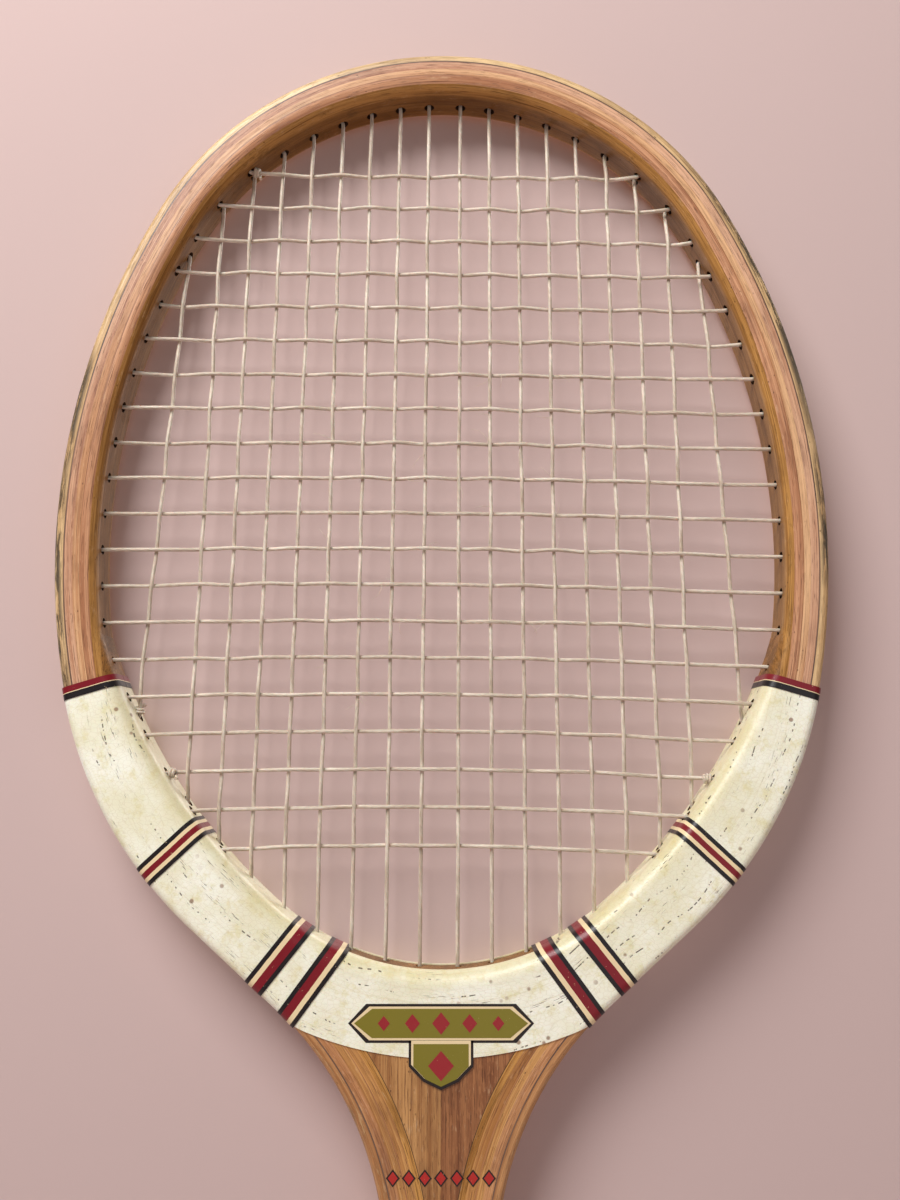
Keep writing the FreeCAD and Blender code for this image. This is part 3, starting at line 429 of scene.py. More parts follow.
def glue_line_and_shade(make, grain, colour, rough):
    """A dark glue line where the innermost ply meets the throat's wedge, grime, and painted shade across the
    middle of the inner wall, where the string holes are.
    """
    along, across = make.axis(grain, "X"), make.axis(grain, "Y")
    below = make.fade(make.math("ABSOLUTE", along), 330.0, 345.0)
    line = make.times(make.fade(across, 1.72, 1.84), below)
    # Painted shade: the middle of the inner wall's depth, between its rounded edges, is darkened towards
    # brown.
    middle = (STACK - PLIES[-1][1]) * 10.0
    depth = make.math("ABSOLUTE", make.math("SUBTRACT", make.axis(grain, "Z"), middle))
    colour = make.mix(make.times(make.fade(depth, 7.0, 4.0), 0.55), colour, srgb(92, 58, 28))
    grime = make.times(make.fade(make.noise(grain, (9.0, 4.0, 4.0), 5.0, 0.7), 0.56, 0.70),
                       make.math("SUBTRACT", 1.0, below))
    colour = make.mix(make.times(grime, 0.55), colour, srgb(92, 66, 34))
    return make.mix(make.times(line, 0.85), colour, srgb(62, 50, 44)), rough


def fibre(name, dark, pale):
    """Thin hard fibre between two plies."""
    make = Shader(name)
    grain = make.grain()
    tone = make.noise(grain, (18.0, 0.4, 1.5), 4.0)
    colour = make.mix(make.fade(tone, 0.35, 0.65), dark, pale)
    make.bump(tone, 0.03)
    return make.finish(Base_Color=colour, Roughness=0.45, Coat_Weight=0.3, Coat_Roughness=0.2)


def bow_grain(make, where):
    """Along the throat's bow, out from the bed's edge and through the frame."""
    across, height = make.axis(where, "X"), make.math("SUBTRACT", make.axis(where, "Z"), BOW_CENTRE)
    reach = make.math("SQRT", make.math("ADD", make.times(across, across), make.times(height, height)))
    out = make.math("SUBTRACT", reach, BOW_CENTRE - BED.points[-1][1])
    joined = make.add("ShaderNodeCombineXYZ", {"X": across, "Y": out, "Z": make.axis(where, "Y")})
    return joined.outputs["Vector"], out


def vellum(name, swept=True):
    """Cream painted parchment: faint long grain, yellowed inner edge, specks and dashed cracks."""
    make = Shader(name)
    where = make.place()
    if swept:
        grain, from_edge = make.grain(), make.attribute("inner").outputs["Fac"]
    else:
        grain, from_edge = bow_grain(make, where)
    cloud = make.noise(where, 16.0, 5.0, 0.6)
    colour = make.mix(make.fade(cloud, 0.34, 0.66), srgb(239, 235, 206), srgb(252, 251, 234))
    lines = make.noise(grain, (60.0, 0.7, 1.6), 5.0, 0.7, 0.6)
    colour = make.mix(make.times(make.fade(lines, 0.52, 0.70), 0.30), colour, srgb(206, 190, 140))
    mottle = make.fade(make.noise(where, (5.0, 9.0, 5.0), 4.0, 0.7), 0.50, 0.68)
    colour = make.mix(make.times(mottle, 0.5), colour, srgb(222, 212, 150))
    inner = make.fade(from_edge, 6.0, 0.0)
    stain = make.times(inner, make.level(make.noise(where, 7.0, 4.0), 0.35, 1.0))
    colour = make.mix(make.times(stain, 0.75), colour, srgb(198, 180, 116))
    speck = make.cells(where, 5.2)
    patchy = make.fade(make.noise(where, 24.0, 2.0), 0.50, 0.60)
    dots = make.times(make.fade(speck, 0.16, 0.08), patchy)
    colour = make.mix(make.times(dots, 0.75), colour, srgb(120, 72, 40))
    crack = make.noise(make.shifted(grain, (11.0, 0.0, 0.0)), (4.2, 0.24, 1.2), 2.0, 0.5)
    zone = make.fade(make.noise(make.shifted(grain, (0.0, 40.0, 0.0)), (30.0, 5.0, 9.0), 2.0), 0.55, 0.64)
    cracks = make.times(make.fade(crack, 0.63, 0.67), zone)
    colour = make.mix(make.times(cracks, 0.8), colour, srgb(70, 52, 34))
    along, across = make.axis(grain, "X"), make.axis(grain, "Y")
    drift = make.times(make.noise(make.scaled(grain, (1.0, 0.0, 0.0)), 30.0, 2.0), 2.2)
    row = make.math("FRACT", make.math("ADD", make.times(across, 0.24), drift))
    near_row = make.fade(make.math("ABSOLUTE", make.math("SUBTRACT", row, 0.5)), 0.055, 0.025)
    beads = make.fade(make.noise(make.scaled(grain, (1.0, 0.1, 0.1)), 1.1, 1.0), 0.52, 0.58)
    stretch = make.fade(make.noise(make.shifted(grain, (77.0, 9.0, 0.0)), (26.0, 4.0, 9.0), 2.0), 0.52, 0.58)
    dotted = make.times(near_row, beads, stretch)
    colour = make.mix(make.times(dotted, 0.85), colour, srgb(64, 48, 34))
    crackle = make.cells(where, (1.7, 2.4, 1.1), "DISTANCE_TO_EDGE")
    veins = make.fade(crackle, 0.07, 0.0)
    colour = make.mix(make.times(veins, 0.16), colour, srgb(168, 140, 84))
    make.bump(make.times(veins, -1.0), 0.02)
    make.bump(make.times(dotted, -1.0), 0.08)
    make.bump(lines, 0.03)
    make.bump(make.times(cracks, -1.0), 0.06)
    rough = make.level(cloud, 0.30, 0.52)
    return make.finish(Base_Color=colour, Roughness=rough, Coat_Weight=0.25, Coat_Roughness=0.25,
                       Subsurface_Weight=0.05, Subsurface_Scale=0.001)


def band_tape(name, bands):
    """Lacquered stripes across a shoulder, rubbed through in specks."""
    make = Shader(name)
    where = make.place()
    along = make.attribute("stripe").outputs["Fac"]
    waver = make.times(make.math("SUBTRACT", make.noise(where, 2.5, 3.0), 0.5), 0.22)
    colour = make.stripes(make.math("ADD", along, waver), -BAND_HALF, BAND_HALF, bands)
    cloud = make.noise(where, 6.0, 4.0)
    colour = make.mix(make.level(cloud, 0.0, 0.06), colour, srgb(150, 110, 80))
    chips = make.fade(make.noise(where, (0.9, 0.9, 0.9), 3.0, 0.6), 0.70, 0.74)
    colour = make.mix(make.times(chips, 0.6), colour, srgb(214, 190, 146))
    make.bump(cloud, 0.03)
    return make.finish(Base_Color=colour, Roughness=0.36, Coat_Weight=0.15, Coat_Roughness=0.2,
                       Specular_IOR_Level=0.3)


def gut():
    """Twisted natural gut, dull cream with brown grime and rough fibres."""
    make = Shader("gut_string")
    grain = make.grain()
    cloud = make.noise(grain, (9.0, 2.0, 2.0), 4.0, 0.6)
    colour = make.mix(make.fade(cloud, 0.35, 0.65), srgb(186, 170, 150), srgb(222, 210, 192))
    twist = make.math("ADD", make.times(make.axis(grain, "X"), 2.2), make.axis(grain, "Y"))
    ply = make.math("SINE", twist)
    colour = make.mix(make.level(ply, 0.10, 0.0), colour, srgb(140, 112, 86))
    dirt = make.fade(make.noise(grain, (2.2, 1.5, 1.5), 3.0), 0.60, 0.70)
    colour = make.mix(make.times(dirt, 0.25), colour, srgb(140, 108, 80))
    make.bump(ply, 0.025)
    make.bump(make.noise(grain, (0.8, 0.3, 0.3), 2.0), 0.03)
    return make.finish(Base_Color=colour, Roughness=0.5, Subsurface_Weight=0.15, Subsurface_Scale=0.0008)


def leather():
    """Brown calf with a fine pebble, rows of punched holes and shine on the raised parts."""
    make = Shader("grip_leather")
    grain, where = make.grain(), make.place()
    pebble = make.cells(where, 0.7, "DISTANCE_TO_EDGE")
    cloud = make.noise(where, 14.0, 5.0, 0.6)
    colour = make.mix(make.fade(cloud, 0.33, 0.67), srgb(74, 42, 26), srgb(122, 74, 46))
    worn = make.fade(make.noise(where, 5.0, 4.0), 0.55, 0.75)
    colour = make.mix(make.times(worn, 0.35), colour, srgb(150, 100, 66))
    u, v = make.axis(grain, "X"), make.axis(grain, "Y")
    spacing = 4.2
    cell_u = make.math("SUBTRACT", make.math("FRACT", make.math("DIVIDE", u, spacing)), 0.5)
    cell_v = make.math("SUBTRACT", make.math("FRACT", make.math("DIVIDE", v, spacing)), 0.5)
    apart = make.math("SQRT", make.math("ADD", make.times(cell_u, cell_u), make.times(cell_v, cell_v)))
    hole = make.fade(apart, 0.14, 0.09)
    seam = make.fade(make.axis(grain, "Z"), 1.1, 0.2)
    colour = make.mix(make.math("MAXIMUM", make.times(hole, 0.9), make.times(seam, 0.75)), colour,
                      srgb(22, 13, 9))
    make.bump(make.fade(pebble, 0.0, 0.25), 0.05)
    make.bump(make.times(hole, -1.0), 0.5)
    rough = make.level(cloud, 0.42, 0.66)
    return make.finish(Base_Color=colour, Roughness=rough, Specular_IOR_Level=0.4)


def tape():
    """Black finishing tape with fine creases."""
    make = Shader("collar_tape")
    where = make.place()
    crease = make.noise(where, (6.0, 6.0, 0.8), 4.0, 0.6)
    colour = make.mix(make.fade(crease, 0.4, 0.7), srgb(24, 24, 26), srgb(52, 50, 50))
    make.bump(crease, 0.12)
    return make.finish(Base_Color=colour, Roughness=make.level(crease, 0.35, 0.6))


def moulded():
    """Black moulded cap with a fine matt texture and scuffs."""
    make = Shader("butt_plastic")
    where = make.place()
    fine = make.noise(where, 0.35, 2.0)
    scuff = make.fade(make.noise(where, (7.0, 1.2, 1.2), 5.0, 0.7), 0.58, 0.70)
    colour = make.mix(make.times(scuff, 0.5), srgb(28, 26, 25), srgb(92, 86, 80))
    make.bump(fine, 0.04)
    return make.finish(Base_Color=colour, Roughness=make.level(scuff, 0.42, 0.65))


def brass():
    make = Shader("brass_tack")
    where = make.place()
    tarnish = make.noise(where, 1.4, 5.0, 0.65)
    colour = make.mix(make.fade(tarnish, 0.38, 0.64), srgb(122, 92, 48), srgb(202, 164, 92))
    make.bump(tarnish, 0.03)
    return make.finish(Base_Color=colour, Metallic=1.0, Roughness=make.level(tarnish, 0.28, 0.5))


def print_ink(name, colour):
    """Printed transfer ink, slightly uneven, worn to pin-holes."""
    make = Shader(name)
    where = make.place()
    cloud = make.noise(where, 2.2, 4.0, 0.6)
    shade = make.mix(make.level(cloud, 0.0, 0.10), colour, srgb(150, 112, 70))
    pin = make.fade(make.noise(where, 0.45, 2.0), 0.72, 0.76)
    shade = make.mix(make.times(pin, 0.5), shade, srgb(214, 190, 140))
    make.bump(cloud, 0.02)
    return make.finish(Base_Color=shade, Roughness=0.38, Coat_Weight=0.15, Coat_Roughness=0.2,
                       Specular_IOR_Level=0.3)


GOLDEN = (srgb(168, 112, 54), srgb(216, 162, 92))
TAWNY = (srgb(158, 102, 58), srgb(204, 146, 92))
ASH = wood("golden_ash", srgb(230, 184, 138), srgb(188, 134, 92), srgb(112, 70, 44), throat=GOLDEN)
RIM_ASH = wood("golden_ash_rim", srgb(230, 196, 146), srgb(196, 154, 102), srgb(122, 84, 54), wear_and_shade=bruised,
               throat=TAWNY)
# A darker copy of the golden ash: painted shade for the inner ply's bevel and wall.
WALL_ASH = wood("golden_ash_wall", srgb(186, 136, 76), srgb(142, 96, 46), srgb(84, 52, 24), wear_and_shade=glue_line_and_shade,
                throat=GOLDEN, gloss=0.07)
BEECH = wood("red_beech", srgb(220, 174, 140), srgb(178, 124, 92), srgb(104, 62, 44), 0.7, 0.3,
             throat=TAWNY)
MAHOGANY = wood("mahogany", srgb(214, 160, 120), srgb(168, 112, 76), srgb(96, 56, 36), 0.7,
                throat=GOLDEN)
# A darker copy of the golden ash: painted shade for the throat bow's inner wall.
BOW = wood("golden_ash_bow", srgb(158, 110, 60), srgb(118, 80, 40), srgb(78, 48, 24), swept=False,
           gloss=0.07)
BROWN_WEDGE = wood("brown_wedge", srgb(198, 148, 92), srgb(156, 106, 60), srgb(100, 60, 34), 0.8,
                   swept=False)
DARK_WEDGE = wood("dark_wedge", srgb(166, 112, 70), srgb(128, 78, 46), srgb(78, 44, 26), 0.8, 0.7, False)
HANDLE_WOOD = wood("handle_wood", srgb(204, 154, 98), srgb(164, 114, 64), srgb(108, 68, 38), swept=False)
OUTER_FIBRE = fibre("dark_fibre", srgb(70, 50, 42), srgb(124, 92, 70))
INNER_FIBRE = fibre("dark_fibre_inner", srgb(134, 84, 50), srgb(176, 120, 76))
VELLUM = vellum("vellum")
THROAT_VELLUM = vellum("vellum_throat", False)
GUT = gut()
LEATHER = leather()
TAPE = tape()
PLASTIC = moulded()
BRASS = brass()


# ------------------------------------------------------------------ the laminated rim

def crown_share(headings):
    """1 at the crown, fading to 0 on the sides."""
    return np.clip(np.cos(headings), 0, 1) ** 1.5


def half_depth(offset, outer_radius, inner_radius, widths):
    """Half the rim's depth at a distance in from its outer edge, with both edges rounded."""
    depth = np.full_like(outer_radius, HALF_DEPTH)
    for gap, radius in ((np.full_like(widths, offset), outer_radius), (widths - offset, inner_radius)):
        short = np.clip(radius - gap, 0, radius)
        drop = radius - np.sqrt(np.clip(radius ** 2 - short ** 2, 0, None))
        depth = depth - np.where(short > 0, drop, 0)
    return depth


def spread(low, high, count, towards):
    """Offsets across a ply, closer together near the rim's outer (-1) or inner (1) edge."""
    part = np.linspace(0, 1, count)
    if towards < 0:
        part = part ** 2
    elif towards > 0:
        part = 1 - (1 - part) ** 2
    return low + (high - low) * part


def laminated_rim():
    """Every ply as its own sweep from the left of the butt, over the crown, to the right."""
    crown = crown_share(RIM.headings)
    outer_radius = 1.9 + 0.8 * crown
    inner_radius = 4.0 + 0.4 * crown
    widths = np.array([BED.hit(point, normal)[0] for point, normal in zip(RIM.points, RIM.normals)])
    widths = np.where(RIM.points[:, 1] > BOW_TOP, STACK, np.clip(widths, STACK, 3 * STACK))
    finishes = {"outer_ash_ply": (RIM_ASH, 9, -1), "outer_fibre_ply": (OUTER_FIBRE, 3, 0),
                "beech_ply": (BEECH, 4, 0), "centre_ash_ply": (ASH, 4, 0),
                "inner_fibre_ply": (INNER_FIBRE, 3, 0), "mahogany_ply": (MAHOGANY, 8, 1),
                "inner_ash_ply": (WALL_ASH, 9, 1)}
    slots = {record["node"]: record["material_slot"] for record in frame["record"]["subparts"]}
    start = 0.0
    for label, thick in PLIES:
        material, count, towards = finishes[label]
        offsets = spread(start, start + thick, count, towards)
        sink = 0.03 if "fibre" in label else 0.0
        inner_wall = (-0.75, 0.75) if label == "inner_ash_ply" else ()
        outer_wall = (0.5, -0.5) if label == "outer_ash_ply" else ()
        section = [*((offset, -1) for offset in offsets), *((offsets[-1], side) for side in inner_wall),
                   *((offset, 1) for offset in offsets[::-1]), *((start, side) for side in outer_wall)]
        places = np.zeros((len(RIM.points), len(section), 3))
        grain = np.zeros_like(places)
        for column, (offset, side) in enumerate(section):
            flat = RIM.points + RIM.normals * offset
            depth = side * (half_depth(offset, outer_radius, inner_radius, widths) - sink)
            places[:, column] = np.stack([flat[:, 0], depth, flat[:, 1]], 1)
            grain[:, column] = np.stack([RIM.length, np.full(len(flat), offset - start), depth], 1)
        grain[..., 2] += start * 10.0
        ply = sweep(f"rim_{label}", places, {"grain": grain}, material,
                    stands_for=[label], slot=slots[label])
        DRILLED.append(ply)
        start += thick


DRILLED = []
laminated_rim()


# ------------------------------------------------------------------ shoulders: vellum and bands

WALL_SEAM = 0.1
VELLUM_THICK, BAND_THICK = 0.35, 0.2
OUTER_EDGE, INNER_EDGE = 2.2, 3.8


def corner(centre, radius, first, last, count):
    """Points round an arc, from one angle in degrees to another."""
    angles = np.radians(np.linspace(first, last, count))
    return [(centre[0] + radius * math.cos(angle), centre[1] + radius * math.sin(angle))
            for angle in angles]


def wrap(width, grow):
    """Section points (in from the outer edge, through) of a skin from inner wall round to inner wall."""
    inner_x, outer_x = width - INNER_EDGE, OUTER_EDGE
    face = HALF_DEPTH + grow
    points = [(width + grow, y) for y in np.linspace(-WALL_SEAM, -HALF_DEPTH + INNER_EDGE + 1, 3)]
    points += corner((inner_x, -HALF_DEPTH + INNER_EDGE), INNER_EDGE + grow, 0, -90, 7)
    points += [(inner_x + (outer_x - inner_x) * part, -face) for part in np.linspace(0.1, 0.9, 9)]
    points += corner((outer_x, -HALF_DEPTH + OUTER_EDGE), OUTER_EDGE + grow, -90, -180, 7)
    points += [(-grow, y) for y in np.linspace(-4.5, 4.5, 5)]
    back = [(x, -y) for x, y in points[:-5]]
    return points + back[::-1]


def skin(line_sets, grow_low, grow_high):
    """A skin's stations: each line is (outer point, inner point), wrapped at two heights."""
    places, grain, inner = [], [], []
    for outer, inward, along in line_sets:
        run = inward - outer
        width = np.linalg.norm(run)
        run = run / width
        loop = wrap(width, grow_high) + wrap(width, grow_low)[::-1]
        places.append([(outer[0] + run[0] * x, y, outer[1] + run[1] * x) for x, y in loop])
        grain.append([(along, x, y) for x, y in loop])
        inner.append([width - x for x, y in loop])
    return np.array(places), np.array(grain), np.array(inner)


class Band:
    """Stripes across a shoulder from a point on the outer edge to one on the inner edge."""

    def __init__(self, label, outer, inner, colours):
        self.label, self.colours = label, colours
        self.outer, self.inner = np.array(outer), np.array(inner)
        self.run = (self.inner - self.outer) / np.linalg.norm(self.inner - self.outer)
        self.along = np.array([self.run[1], -self.run[0]])
        if self.along[1] > 0:
            self.along = -self.along

    def line(self, shift):
        """The band's line moved along the frame, towards the throat when positive."""
        middle = (self.outer + self.inner) / 2 + self.along * shift
        out, _ = RIM.hit(middle, -self.run)
        inwards, _ = BED.hit(middle, self.run)
        return middle - self.run * out, middle + self.run * inwards


BANDS = (
    Band("end_band", (110.0, 481.0), (90.0, 487.0), ((1.2, CRIMSON), (0.15, BUFF), (1.2, INK))),
    Band("middle_band", (84.6, 429.2), (70.0, 442.8),
         ((1.1, INK), (1.0, BUFF), (1.5, CRIMSON), (1.0, BUFF), (1.1, INK))),
    Band("upper_throat_band", (53.0, 398.2), (39.5, 415.0),
         ((1.0, INK), (1.1, BUFF), (1.9, CRIMSON), (1.0, INK))),
    Band("lower_throat_band", (43.2, 390.4), (29.0, 409.5),
         ((1.0, INK), (1.9, CRIMSON), (1.1, BUFF), (1.0, INK))),
)


def mirrored(line_sets, side):
    """The same lines on the left side (-1) or the right side (1)."""
    flip = np.array([side, 1.0])
    return [(outer * flip, inner * flip, along) for outer, inner, along in line_sets]


def shoulder_lines():
    """Lines across the right shoulder from the end band to the last band by the throat."""
    first, last = BANDS[0].line(-1.0), BANDS[-1].line(0.6)
    starts = []
    for outer, inner in (first, last):
        index = int(np.argmin(np.linalg.norm(RIM.points - outer, axis=1)))
        run = (inner - outer) / np.linalg.norm(inner - outer)
        normal = RIM.normals[index]
        lean = math.atan2(normal[0] * run[1] - normal[1] * run[0], float(normal @ run))
        starts.append((RIM.length[index], lean))
    lines = []
    for part in np.linspace(0, 1, 90):
        along = starts[0][0] + (starts[1][0] - starts[0][0]) * part
        lean = starts[0][1] + (starts[1][1] - starts[0][1]) * part
        outer, normal = RIM.at(along)
        turn = np.array([[math.cos(lean), -math.sin(lean)], [math.sin(lean), math.cos(lean)]])
        run = turn @ normal
        width, _ = BED.hit(outer, run)
        lines.append((outer, outer + run * width, along))
    return lines


def vellum_shoulders():
    for name, side in (("vellum_left", -1), ("vellum_right", 1)):
        places, grain, inner = skin(mirrored(shoulder_lines(), side), 0.0, VELLUM_THICK)
        grain[..., 0] *= side
        DRILLED.append(sweep(f"shoulder_{name}", places, {"grain": grain, "inner": inner}, VELLUM,
                             stands_for=[name], slot="vellum"))


def striped_bands():
    for band in BANDS:
        material = band_tape(f"band_tape_{band.label}", band.colours)
        half = 1.9 if band.label == "end_band" else BAND_HALF
        parts = []
        for side in (-1, 1):
            shifts = np.linspace(-half, half, 25)
            lines = [(*band.line(shift), shift * BAND_HALF / half) for shift in shifts]
            places, grain, _ = skin(mirrored(lines, side), VELLUM_THICK * 0.5, VELLUM_THICK + BAND_THICK)
            rows, columns = places.shape[:2]
            parts.append((places.reshape(-1, 3), closed_faces(rows, columns), grain[..., 0].reshape(-1)))
        vertices, faces, stripe = merged(parts)
        DRILLED.append(build(f"stripes_{band.label}", vertices, faces, material, {"stripe": stripe},
                             stands_for=[band.label], slot="band_tape"))


vellum_shoulders()
striped_bands()


# ------------------------------------------------------------------ strings: where they run

STRING_RADIUS = 0.6
HOLE_RADIUS, GROOVE_RADIUS = 1.15, 1.0
FIRST_MAIN, MAIN_PITCH, MAIN_PAIRS = 5.3, 9.7, 9
MAIN_FAN, MAIN_LEAN = 0.027, 0.6
LAST_MAIN = ((625.0, 81.2), (472.5, 90.8))
TOP_CROSS, CROSS_PITCH, CROSS_COUNT, CROSS_DROOP, CROSS_FALL = 648.2, 11.12, 20, 2.8, 1.1
LIFT, STAGGER, GROOVE_INSET = 0.63, 1.6, 0.75
LAST_HIDDEN = 6
MID_BED = 540.0
NUMBERS = [side * number for side in (-1, 1) for number in range(1, MAIN_PAIRS + 1)]


class Anchor:
    """A string hole through the rim: mouth on the bed's edge and exit on the outer edge."""

    def __init__(self, start, direction, stagger):
        far, index = BED.hit(start, direction)
        mouth = start + direction * far
        self.normal = -BED.normals[index]
        out, _ = RIM.hit(mouth, self.normal)
        leave = mouth + self.normal * out
        self.stagger = stagger
        self.out = np.array([self.normal[0], 0, self.normal[1]])
        self.mouth = np.array([mouth[0], stagger, mouth[1]])
        self.exit = np.array([leave[0], stagger, leave[1]])
        self.turn = self.exit - self.out * GROOVE_INSET


def unit(vector):
    vector = np.asarray(vector, float)
    return vector / np.linalg.norm(vector)


def main_x(number, z):
    """Where main string number is at a height: the mains fan out downwards and lean to the right."""
    drop, index = (MID_BED - z) / 100, abs(number)
    if index < MAIN_PAIRS:
        half = (FIRST_MAIN + MAIN_PITCH * (index - 1)) * (1 + MAIN_FAN * drop)
    else:
        (head_z, head_x), (foot_z, foot_x) = LAST_MAIN
        half = head_x + (foot_x - head_x) * (head_z - z) / (head_z - foot_z)
    return math.copysign(half, number) - MAIN_LEAN * drop


def main_anchor(number, up):
    start = np.array([main_x(number, MID_BED), MID_BED])
    target = np.array([main_x(number, MID_BED + up * 100), MID_BED + up * 100])
    return Anchor(start, unit(target - start), STAGGER)


def cross_anchor(row, side):
    sag = CROSS_DROOP * row / (CROSS_COUNT - 1)
    run = unit((side * 100, -sag - side * CROSS_FALL))
    return Anchor(np.array([0.0, TOP_CROSS - row * CROSS_PITCH]), run, -STAGGER)


HEAD = {number: main_anchor(number, 1) for number in NUMBERS}
FOOT = {number: main_anchor(number, -1) for number in NUMBERS}
CROSS = {(row, side): cross_anchor(row, side) for row in range(CROSS_COUNT) for side in (-1, 1)}


def cross_z(row, x):
    """Height of a cross string: it falls to the right, and its ends lie below its middle."""
    mouth = CROSS[row, 1 if x > 0 else -1].mouth
    middle, fall = TOP_CROSS - row * CROSS_PITCH, -CROSS_FALL / 100
    bend = mouth[2] - middle - fall * mouth[0]
    return middle + fall * x + bend * (x / mouth[0]) ** 2


def weave_side(number, row):
    """1 where the main passes behind the cross, -1 where it passes in front."""
    column = number if number > 0 else number + 1
    return 1 if (column + row) % 2 else -1


def crossings():
    clear = 3.0
    for row in range(CROSS_COUNT):
        for number in NUMBERS:
            reach = abs(CROSS[row, 1 if number > 0 else -1].mouth[0]) - clear
            z = cross_z(row, main_x(number, TOP_CROSS - row * CROSS_PITCH))
            x = main_x(number, z)
            if abs(x) < reach and FOOT[number].mouth[2] + clear < z < HEAD[number].mouth[2] - clear:
                yield number, row, np.array([x, 0.0, z])


STRAY = random.Random(7)
CROSSINGS = []
for crossing_number, crossing_row, crossing_point in crossings():
    nudge = np.array([STRAY.gauss(0, 0.07), 0.0, STRAY.gauss(0, 0.11)])
    CROSSINGS.append((crossing_number, crossing_row, crossing_point + nudge))


# ------------------------------------------------------------------ strings: meshes

def smooth(points, step=0.9):
    """Points close together on a curve that passes through the given ones."""
    points = np.asarray(points, float)
    padded = np.concatenate([[2 * points[0] - points[1]], points, [2 * points[-1] - points[-2]]])
    curve = []
    for index in range(1, len(padded) - 2):
        before, first, last, after = padded[index - 1:index + 3]
        reach = np.linalg.norm(last - first)
        slope_first = unit(last - before) * reach
        slope_last = unit(after - first) * reach
        for part in np.arange(0, 1, min(0.5, step / max(reach, 1e-6))):
            square, cube = part ** 2, part ** 3
            curve.append(first * (2 * cube - 3 * square + 1) + slope_first * (cube - 2 * square + part)
                         + last * (3 * square - 2 * cube) + slope_last * (cube - square))
    return np.array([*curve, points[-1]])


def tube(path, radii, sides=10):
    """Vertices, faces and grain of a round string along a path."""
    path = np.asarray(path, float)
    radii = np.broadcast_to(radii, len(path))
    tangents = np.gradient(path, axis=0)
    tangents /= np.linalg.norm(tangents, axis=1)[:, None]
    length = np.concatenate([[0], np.cumsum(np.linalg.norm(np.diff(path, axis=0), axis=1))])
    side = np.cross(tangents[0], (0.31, 0.9, 0.17))
    angles = np.linspace(0, 2 * math.pi, sides, endpoint=False)
    vertices, grain = [], []
    for point, tangent, radius, far in zip(path, tangents, radii, length):
        side = side - tangent * (side @ tangent)
        side /= np.linalg.norm(side)
        other = np.cross(tangent, side)
        for angle in angles:
            vertices.append(point + radius * (side * math.cos(angle) + other * math.sin(angle)))
            grain.append((far, angle, radius))
    return np.array(vertices), closed_faces(len(path), sides), np.array(grain)


def outside_loop(first, second):
    """Where a string turns round the rim's outer edge between two holes."""
    normal = unit(first.out + second.out)
    middle = (first.exit + second.exit) / 2 - normal * 3
    far, _ = RIM.hit(middle[[0, 2]], normal[[0, 2]])
    crest = middle + normal * (far - GROOVE_INSET)
    crest[1] = first.stagger
    return [first.turn, crest, second.turn]


def woven(number=None, cross=None):
    """Crossing points of one string, lifted to their woven side."""
    for main, row, point in CROSSINGS:
        lift = LIFT * weave_side(main, row)
        if main == number:
            yield point + np.array([0, lift, 0])
        elif row == cross:
            yield point - np.array([0, lift, 0])


def inside_hole(anchor):
    """A point a little way into a string's hole from the bed."""
    return anchor.mouth + anchor.out * 1.2


def main_path():
    path, upwards = [], True
    for number in range(-MAIN_PAIRS, MAIN_PAIRS + 1):
        if number == 0:
            continue
        foot, head = FOOT[number], HEAD[number]
        middle = sorted(woven(number=number), key=lambda point: point[2])
        run = [inside_hole(foot), foot.mouth, *middle, head.mouth, inside_hole(head)]
        path += run if upwards else run[::-1]
        following = number + 1 or 1
        if number < MAIN_PAIRS:
            ends = HEAD if upwards else FOOT
            first, second = ends[number], ends[following]
            hidden = not upwards and max(abs(number), abs(following)) <= LAST_HIDDEN
            if hidden:
                path.append((first.mouth + second.mouth) / 2 + unit(first.out + second.out) * 5.5)
            else:
                path += outside_loop(first, second)
        upwards = not upwards
    return [FOOT[-MAIN_PAIRS].turn, *path, FOOT[MAIN_PAIRS].turn]


def cross_path():
    path = [CROSS[0, -1].turn]
    for row in range(CROSS_COUNT):
        left, right = CROSS[row, -1], CROSS[row, 1]
        middle = sorted(woven(cross=row), key=lambda point: point[0])
        run = [inside_hole(left), left.mouth, *middle, right.mouth, inside_hole(right)]
        rightwards = row % 2 == 0
        path += run if rightwards else run[::-1]
        if row + 1 < CROSS_COUNT:
            side = 1 if rightwards else -1
            path += outside_loop(CROSS[row, side], CROSS[row + 1, side])
    last_side = 1 if CROSS_COUNT % 2 else -1
    return [*path, CROSS[CROSS_COUNT - 1, last_side].turn]


def knot(anchor, towards, tail_turn, seed):
    """Three turns of string round a run, ending in a cut tail."""
    draw = random.Random(seed)
    along = unit(towards - anchor.mouth)
    side = unit(np.cross(along, (0, 1, 0)))
    front = np.cross(side, along)
    points = []
    for index in range(34):
        part = index / 33
        angle = 2 * math.pi * 2.2 * part + tail_turn
        ring = 1.05 + 0.12 * math.sin(5 * part)
        points.append(anchor.mouth + along * (0.9 + 1.9 * part)
                      + ring * (side * math.cos(angle) + front * math.sin(angle)))
    away = unit(points[-1] - points[-4])
    for index in range(3):
        points.append(points[-1] + away * 0.7 + np.array([draw.uniform(-0.3, 0.3), -0.3, 0.1]))
    return tube(smooth(points, 0.4), 0.5, 8)


